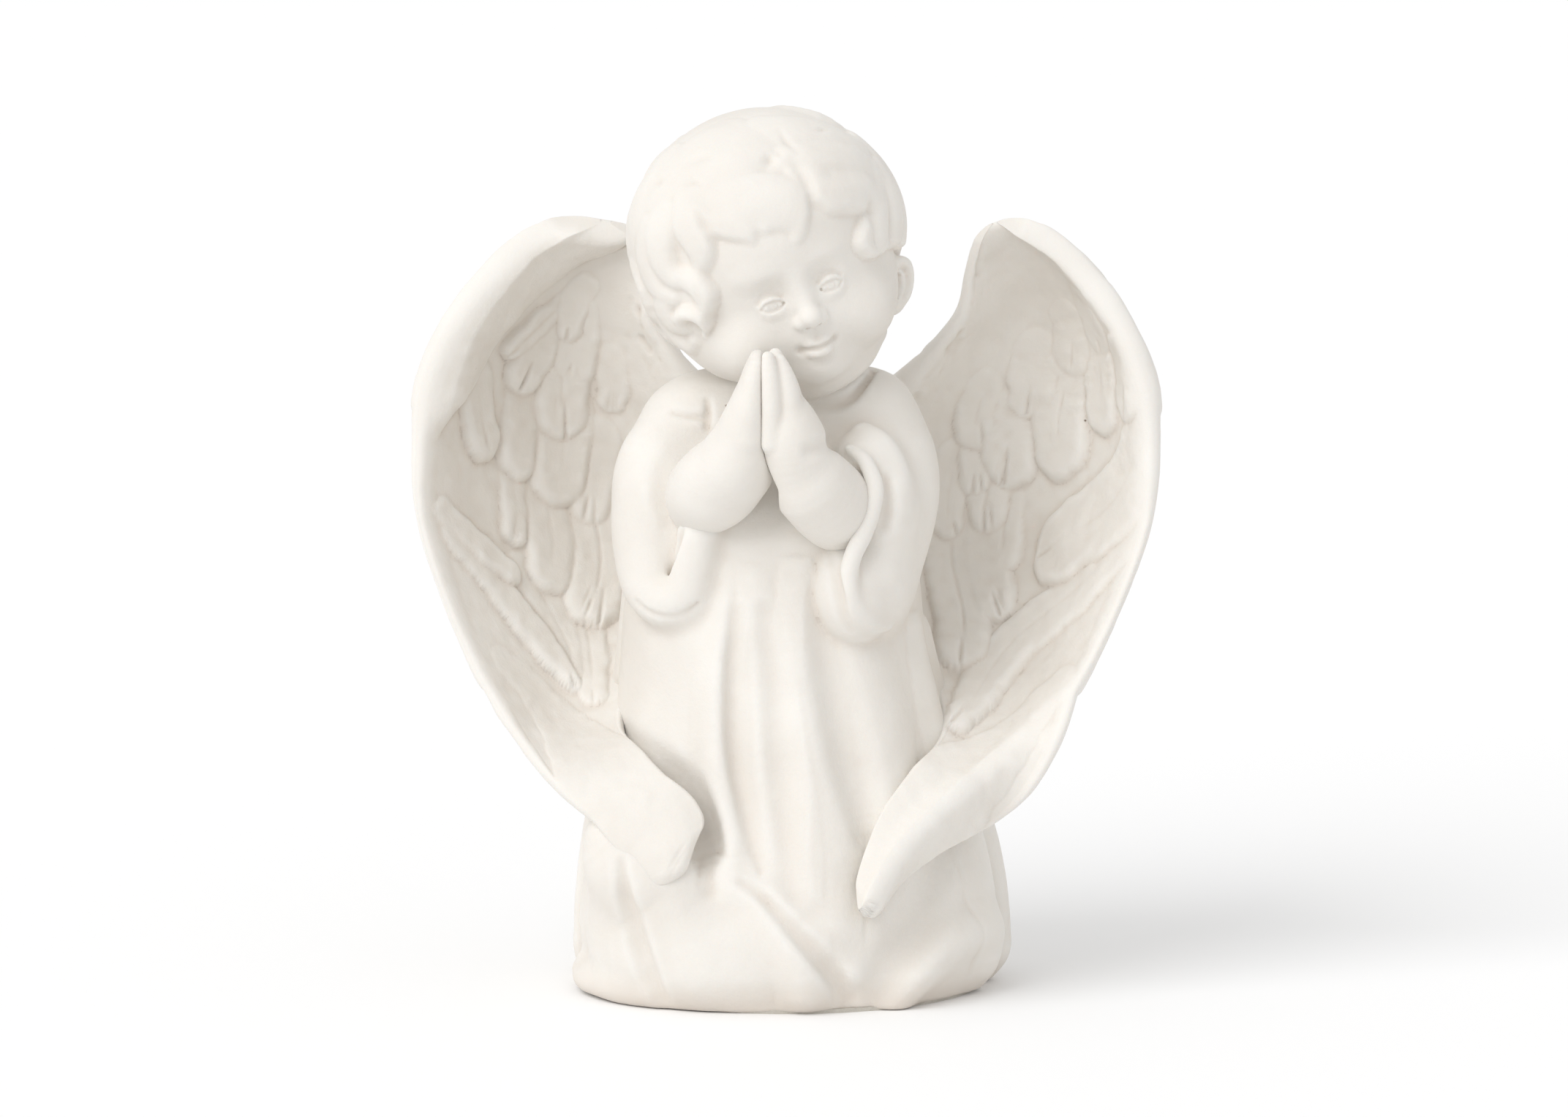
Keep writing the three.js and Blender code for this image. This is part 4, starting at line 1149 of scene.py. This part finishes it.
# (knots, height, shaft groove) of each feather, from the lowest up
RIGHT_FEATHERS = [
    ([(0.6, 0.86, 5), (0.66, 0.66, 7), (0.71, 0.52, 9), (0.8, 0.5, 13), (1.04, 0.5, 15)], 1.2, 0),
    ([(0.5, 0.72, 5), (0.57, 0.58, 5.5), (0.625, 0.44, 3.5)], 1.4, 0.2),
    ([(0.52, 0.55, 5), (0.6, 0.38, 5), (0.65, 0.25, 3.5)], 1.2, 0.2),
    ([(0.45, 0.92, 4.5), (0.54, 0.78, 5.5), (0.6, 0.62, 5), (0.635, 0.46, 3)], 2.3, 0),
    ([(0.42, 0.46, 7), (0.5, 0.44, 7.8), (0.553, 0.425, 7.4)], 2.3, 0.35),
    ([(0.41, 0.6, 6.5), (0.47, 0.61, 7), (0.505, 0.63, 6.6)], 2, 0.15),
    ([(0.42, 0.93, 4), (0.47, 0.85, 4.8), (0.5, 0.78, 4)], 2.2, 0),
    ([(0.38, 0.7, 4), (0.43, 0.71, 4.2), (0.457, 0.73, 3.8)], 1.6, 0.15),
    ([(0.35, 0.4, 6), (0.4, 0.44, 6.2), (0.428, 0.465, 5.8)], 1.9, 0),
    ([(0.31, 0.49, 7), (0.36, 0.52, 8), (0.397, 0.55, 7.8)], 2.4, 0.1),
    ([(0.27, 0.8, 6), (0.31, 0.8, 6.4), (0.332, 0.79, 6)], 2.3, 0.1),
    ([(0.3, 0.63, 5), (0.34, 0.66, 5.8), (0.366, 0.68, 5.6)], 2.2, 0),
    ([(0.24, 0.45, 6), (0.28, 0.48, 7), (0.318, 0.51, 7)], 2.3, 0.2),
    ([(0.2, 0.53, 5), (0.24, 0.57, 5.8), (0.265, 0.61, 5.8)], 2.2, 0),
    ([(0.18, 0.36, 5), (0.23, 0.39, 5.4), (0.257, 0.42, 5.2)], 1.5, 0),
    ([(0.24, 0.26, 4), (0.28, 0.29, 4.4), (0.295, 0.31, 4)], 0.81, 0),
    ([(0.14, 0.38, 4), (0.18, 0.41, 4.2), (0.203, 0.42, 4)], 1.6, 0),
    ([(0.17, 0.46, 3), (0.205, 0.58, 3.6), (0.232, 0.67, 3.2)], 2, 0.3),
]
LEFT_FEATHERS = [
    ([(0.62, 0.9, 6), (0.69, 0.66, 7), (0.74, 0.4, 9), (0.84, 0.36, 13), (1.04, 0.4, 15)], 1.4, 0),
    ([(0.44, 0.96, 7), (0.52, 0.82, 8), (0.59, 0.56, 8), (0.64, 0.32, 6.5), (0.67, 0.14, 4)], 2.2, 0.15),
    ([(0.45, 0.33, 7), (0.53, 0.32, 8), (0.58, 0.28, 7.6), (0.605, 0.24, 7)], 2.2, 0.35),
    ([(0.44, 0.42, 6), (0.5, 0.45, 6.5), (0.543, 0.48, 6)], 2, 0),
    ([(0.31, 0.98, 10), (0.4, 0.9, 12), (0.465, 0.75, 11)], 2.3, 0.1),
    ([(0.42, 0.5, 4.4), (0.46, 0.51, 5), (0.49, 0.52, 4.6)], 1.4, 0.3),
    ([(0.37, 0.3, 5), (0.42, 0.3, 5.2), (0.448, 0.31, 5)], 1.8, 0.1),
    ([(0.39, 0.42, 5.6), (0.42, 0.43, 6), (0.436, 0.44, 5.8)], 1.8, 0.3),
    ([(0.34, 0.36, 4.6), (0.37, 0.37, 5), (0.395, 0.38, 5)], 1.8, 0),
    ([(0.27, 0.62, 7.5), (0.315, 0.63, 8.8), (0.345, 0.65, 8.6)], 2.2, 0.25),
    ([(0.31, 0.46, 6.5), (0.35, 0.47, 7.4), (0.372, 0.48, 7.2)], 2, 0),
    ([(0.28, 0.31, 5), (0.32, 0.33, 5.6), (0.334, 0.345, 5.4)], 1.4, 0.2),
    ([(0.23, 0.79, 6.4), (0.27, 0.8, 7.6), (0.29, 0.8, 7.4)], 1.7, 0.15),
    ([(0.22, 0.95, 6.5), (0.255, 0.94, 7), (0.272, 0.93, 6.6)], 1.5, 0),
    ([(0.24, 0.48, 6.5), (0.27, 0.49, 7.2), (0.286, 0.5, 7)], 1.3, 0),
    ([(0.19, 0.66, 5.5), (0.22, 0.66, 6.4), (0.236, 0.65, 6.2)], 1.1, 0),
    ([(0.16, 0.83, 5), (0.19, 0.83, 5.6), (0.206, 0.82, 5.4)], 0.8, 0),
]


def back_feathers():
    """Rows of rounded feathers for the back of a wing, and the long ones under them."""
    random = np.random.default_rng(5)
    rows = []
    for start, v in zip((0.5, 0.49, 0.48, 0.47, 0.46), (0.16, 0.34, 0.52, 0.7, 0.88)):
        inward = 0.5 + (v - 0.5) * 0.9
        knots = [(start, v, 6.5), (0.62, v, 7), (0.74, inward, 6), (0.90 + 0.08 * v, v, 3.2)]
        rows.append((knots, 1.5, 0.3))
    for i, (s, count) in enumerate([(0.5, 5), (0.42, 6), (0.34, 6), (0.26, 6), (0.19, 5), (0.12, 4)]):
        for k in range(count):
            v = (k + 0.5 + 0.25 * (-1) ** i) / count
            v = min(max(v, 0.06), 0.95) + random.uniform(-0.015, 0.015)
            wide = 24.0 / count * 1.25 * random.uniform(0.92, 1.06)
            length = 0.075 + 0.02 * (s > 0.4)
            knots = [(s - 0.02, v, wide), (s + length * 0.6, v, wide), (s + length, v, wide * 0.92)]
            rows.append((knots, 1.3 * random.uniform(0.85, 1.15), 0.12))
    return rows


def sheet_normal(points, side):
    """Unit normals of a grid of points, towards the hollow front of the wing."""
    n = np.cross(np.gradient(points, axis=0), np.gradient(points, axis=1)) * side
    return n / np.maximum(np.linalg.norm(n, axis=-1), 1e-9)[..., None]


def build_wing(name, node, wing, feathers, rim=None, fold=None):
    s, v = np.meshgrid(np.linspace(0, 1, WING_ROWS), np.linspace(0, 1, WING_COLUMNS), indexing="ij")
    end = np.clip(np.minimum(s / ROUNDING[0], (1 - s) / ROUNDING[1]), 0.012, 1)
    end = np.sqrt(1 - (1 - end) ** 2)
    share = v
    v = 0.5 + (v - 0.5) * end
    if fold:
        v = v * smooth_line(TRIM, s)
    else:
        v = 0.5 + (v - 0.5) * (1 + FLARE * smoothstep(s, 0.8, 0.96))
    middle = wing.middle(s, v)
    normal = wing.normal(s, v)
    if fold:
        beyond = np.maximum(v - crease_line(fold, s), 0) * TIP_WIDE
        bend = FOLD_SLOPE * (np.sqrt(beyond**2 + 1) - 1)
        middle = middle - normal * bend[..., None]
        normal = sheet_normal(middle, wing.side)
    half = half_thickness(s, share) * end
    edge = np.clip(np.minimum(share, 1 - share) / 0.05, 0, 1) * end
    front = Plumage(wing, s, v)
    for knots, tall, shaft in feathers:
        front.feather(knots, tall, shaft)
    if rim:
        front.rim(rim, RIM_TALL)
    if fold:
        front.crest(fold, 1.5, 3)
    back = Plumage(wing, s, v)
    for knots, tall, shaft in back_feathers():
        back.feather(knots, tall, shaft)
    rough = 0.28 * noise(middle, 6.5, 41) + 0.16 * noise(middle, 2.6, 42)
    near_body = (1 - smoothstep(v, 0.04, 0.16)) * (1 - smoothstep(s, 0.3, 0.4))
    crumbs = 0.8 * np.maximum(noise(middle, 2.2, 43), 0) * near_body
    ahead = middle + normal * (half + (front.height + rough - crumbs - BED) * edge)[..., None]
    behind = middle - normal * (half + (back.height + rough - BED) * edge)[..., None]
    points, faces = closed_sheet(ahead, behind)
    make_piece(name, node, points, faces)


def closed_sheet(front, back):
    """A closed skin from a front and a back grid whose side edges already meet."""
    rows, columns = front.shape[:2]
    ring = np.concatenate([front, back[:, -2:0:-1]], 1)
    around = ring.shape[1]
    points = ring.reshape(-1, 3)
    i, j = np.meshgrid(np.arange(rows - 1), np.arange(around), indexing="ij")
    a = i * around + j
    b = i * around + (j + 1) % around
    faces = np.stack([a, b, b + around, a + around], -1).reshape(-1, 4)
    caps = []
    for row, flip in ((0, False), (rows - 1, True)):
        for k in range(columns - 1):
            top = row * around
            back_a = (around - k) % around
            back_b = (around - k - 1) % around if k < columns - 2 else columns - 1
            quad = [top + k, top + k + 1, top + back_b, top + back_a]
            if k == 0:
                quad[3] = top
            caps.append(quad[::-1] if not flip else quad)
    return points, np.concatenate([faces, np.array(caps)])


# ---------------------------------------------------------------- materials


class Paint:
    """A node material in the making."""

    def __init__(self, name):
        self.material = bpy.data.materials.new(name)
        self.material.use_nodes = True
        self.tree = self.material.node_tree
        self.place = self.node("TexCoord", out="Object")

    def feed(self, node, key, value):
        """Sets an input to a value, or links another node's output to it."""
        socket = node.inputs[key]
        if isinstance(value, bpy.types.NodeSocket):
            self.tree.links.new(value, socket)
        else:
            socket.default_value = (*value, 1) if socket.type == "RGBA" else value

    def node(self, kind, numbered=None, out=0, **named):
        """One output of a new node, with its settings and its inputs by name or by number."""
        made = self.tree.nodes.new("ShaderNode" + kind)
        for key, value in named.items():
            if hasattr(made, key):
                setattr(made, key, value)
            else:
                self.feed(made, key.replace("_", " "), value)
        for key, value in (numbered or {}).items():
            self.feed(made, key, value)
        return made.outputs[out]

    def noise(self, scale, detail, **named):
        return self.node("TexNoise", **{"Scale": scale, "Detail": detail, "Vector": self.place, **named})

    def bump(self, height, strength, distance, **named):
        return self.node("Bump", Height=height, Strength=strength, Distance=distance, **named)

    def ramp(self, source, *stops):
        """Grey from (position, brightness) stops, by a value."""
        output = self.node("ValToRGB", Fac=source)
        for element, (position, bright) in zip(output.node.color_ramp.elements, stops):
            element.position = position
            element.color = (bright, bright, bright, 1)
        return output

    def mix(self, factor, a, b, blend="MIX"):
        return self.node("Mix", {0: factor, 6: a, 7: b}, 2, data_type="RGBA", blend_type=blend)

    def shade(self, **named):
        """Sets the surface shader's inputs."""
        for key, value in named.items():
            self.feed(self.tree.nodes["Principled BSDF"], key.replace("_", " "), value)


RESIN_LIGHT = (0.805, 0.775, 0.727)
RESIN_DARK = (0.752, 0.714, 0.66)
RESIN_RUB = (0.86, 0.845, 0.815)
# the colour of the painted shade in the hollows and round the foot
RESIN_PAINTED_SHADE = (0.66, 0.575, 0.495)
# the dark colour of the pinholes, and also of the painted deep shade in the deepest hollows
DIRT_AND_DEEP_SHADE = (0.26, 0.18, 0.13)


def resin_material():
    """Off-white stone-filled resin: mottled, dull, with painted shade in its hollows and round the foot,
    and pinholes.
    """
    paint = Paint("cast_resin")
    broad = paint.noise(38.0, 3.0)
    fine = paint.noise(520.0, 4.0, Roughness=0.62)
    grain = paint.noise(2600.0, 2.0)
    colour = paint.mix(paint.ramp(broad, (0.35, 0.0), (0.68, 1.0)), RESIN_LIGHT, RESIN_DARK)
    # painted shade in the creases and a paler rub on the crests, from the modelled surface itself
    cavity = paint.node("Attribute", attribute_name="cavity", out="Fac")
    hollow = paint.node("Math", {0: cavity, 1: 1.6, 2: 0.5}, operation="MULTIPLY_ADD")
    colour = paint.mix(paint.ramp(hollow, (0.52, 0.0), (0.88, 0.38)), colour, RESIN_PAINTED_SHADE)
    colour = paint.mix(paint.ramp(hollow, (0.25, 0.35), (0.47, 0.0)), colour, RESIN_RUB)
    # painted shade in a band round the foot, darker towards the bottom
    height = paint.node("SeparateXYZ", Vector=paint.place, out="Z")
    low = paint.node("MapRange", Value=height, From_Min=0.001, From_Max=0.008, To_Min=0.55, To_Max=0.0)
    colour = paint.mix(low, colour, RESIN_PAINTED_SHADE)
    # rare pinholes, and painted deep shade in the deepest hollows, broken up by a gritty noise
    cells = paint.node("TexVoronoi", Scale=95.0, Vector=paint.place)
    pin = paint.ramp(cells, (0.012, 1.0), (0.03, 0.0))
    some = paint.ramp(paint.noise(60.0, 1.0), (0.60, 0.0), (0.64, 1.0))
    holes = paint.mix(1.0, pin, some, "MULTIPLY")
    colour = paint.mix(holes, colour, DIRT_AND_DEEP_SHADE)
    deep_shade = paint.ramp(hollow, (0.82, 0.0), (0.95, 0.35))
    gritty = paint.ramp(fine, (0.52, 0.0), (0.62, 1.0))
    colour = paint.mix(paint.mix(1.0, deep_shade, gritty, "MULTIPLY"), colour, DIRT_AND_DEEP_SHADE)
    rough = paint.node("MapRange", Value=fine, To_Min=0.56, To_Max=0.78)
    bumps = paint.bump(fine, 0.35, 0.0004)
    bumps = paint.bump(grain, 0.25, 0.00012, Normal=bumps)
    bumps = paint.bump(holes, 0.8, 0.0004, invert=True, Normal=bumps)
    paint.shade(Base_Color=colour, Roughness=rough, Specular_IOR_Level=0.35, Normal=bumps)
    paint.shade(Subsurface_Weight=0.12, Subsurface_Radius=(1.0, 0.7, 0.5), Subsurface_Scale=0.0015)
    return paint.material


def felt_material():
    """Pressed wool felt: matted fibres, flecked and dull."""
    paint = Paint("wool_felt")
    fibres = paint.noise(1500.0, 6.0, Roughness=0.7, Distortion=1.6)
    base = paint.mix(paint.noise(240.0, 3.0), (0.56, 0.52, 0.45), (0.66, 0.62, 0.55))
    fleck = paint.ramp(fibres, (0.4, 0.0), (0.7, 0.6))
    colour = paint.mix(fleck, base, (0.76, 0.73, 0.67))
    rough = paint.node("MapRange", Value=fibres, To_Min=0.86, To_Max=1.0)
    matted = paint.bump(fibres, 0.9, 0.0004)
    paint.shade(Base_Color=colour, Roughness=rough, Sheen_Weight=0.35, Normal=matted)
    return paint.material


def steel_material():
    """Drawn steel wire: fine scratches round the pin, and a dull tarnish in patches."""
    paint = Paint("drawn_steel")
    along = paint.node("Mapping", Scale=(1.0, 22.0, 1.0), Vector=paint.place)
    lines = paint.noise(900.0, 4.0, Vector=along)
    tarnish = paint.ramp(paint.noise(420.0, 3.0), (0.45, 0.0), (0.75, 1.0))
    colour = paint.mix(tarnish, (0.66, 0.67, 0.68), (0.42, 0.40, 0.37))
    rough = paint.node("MapRange", Value=lines, To_Min=0.26, To_Max=0.48)
    paint.shade(Base_Color=colour, Metallic=1.0, Roughness=rough, Normal=paint.bump(lines, 0.3, 0.00005))
    return paint.material


def dress(node, material):
    """A better material for a CAD node that is kept."""
    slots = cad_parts[node].data.materials
    slots.clear()
    slots.append(material)


resin = resin_material()
build_head()
build_body()
build_left_arm()
build_right_arm()
build_wing("left_wing_feathered", "left_wing", Wing(1, 0, 0), LEFT_FEATHERS, fold=FOLD)
build_wing("right_wing_feathered", "right_wing", Wing(-1, 10, 10), RIGHT_FEATHERS, rim=RIM_START)
dress("sole_plug", resin)
dress("felt_pad", felt_material())
steel = steel_material()
for side in ("left", "right"):
    for height in ("upper", "lower"):
        dress(f"{side}_wing_{height}_pin", steel)

# ---------------------------------------------------------------- stage


def face_along(thing, away):
    """Turns a lamp or a camera to look back along a direction."""
    thing.rotation_euler = (-away).to_track_quat("-Z", "Y").to_euler()


def soft_sun(name, place, strength, spread):
    """Even light from the direction of a place, softened over a spread in degrees."""
    light = bpy.data.lights.new(name, "SUN")
    light.energy = strength
    light.angle = math.radians(spread)
    lamp = placed(name, light)
    lamp.location = place
    face_along(lamp, Vector(place))


def floor(half=3.0):
    """A square of pale paper under the figure."""
    mesh = bpy.data.meshes.new("floor")
    corners = [(-half, -half, 0), (half, -half, 0), (half, half, 0), (-half, half, 0)]
    mesh.from_pydata(corners, [], [(0, 1, 2, 3)])
    paper = Paint("paper")
    paper.shade(Base_Color=(0.94, 0.94, 0.94), Roughness=0.9)
    mesh.materials.append(paper.material)
    placed("floor", mesh)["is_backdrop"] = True


floor()
world = bpy.data.worlds.new("studio")
bpy.context.scene.world = world
world.use_nodes = True
world.node_tree.nodes["Background"].inputs["Color"].default_value = (1, 1, 1, 1)
world.node_tree.nodes["Background"].inputs["Strength"].default_value = 0.80
soft_sun("key", (-0.9, -1.0, 1.15), 1.35, 45)
bpy.context.scene.view_settings.view_transform = "Standard"

AZIMUTH = math.radians(3)
ELEVATION = math.radians(8)
DISTANCE = 2.2
VIEW_WIDTH = 0.351616  # what the camera sees across, at the figure
TARGET = Vector((0, 0, 0.0965))
camera_data = bpy.data.cameras.new("camera")
camera = placed("camera", camera_data)
bpy.context.scene.camera = camera
level = math.cos(ELEVATION)
away = Vector((math.sin(AZIMUTH) * level, -math.cos(AZIMUTH) * level, math.sin(ELEVATION)))
camera.location = TARGET + DISTANCE * away
face_along(camera, away)
camera_data.sensor_width = 36
camera_data.lens = camera_data.sensor_width * DISTANCE / VIEW_WIDTH

boxes = {"cad": cad_box, "visual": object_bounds()}
{name: [list(corner) for corner in box] for name, box in boxes.items()}
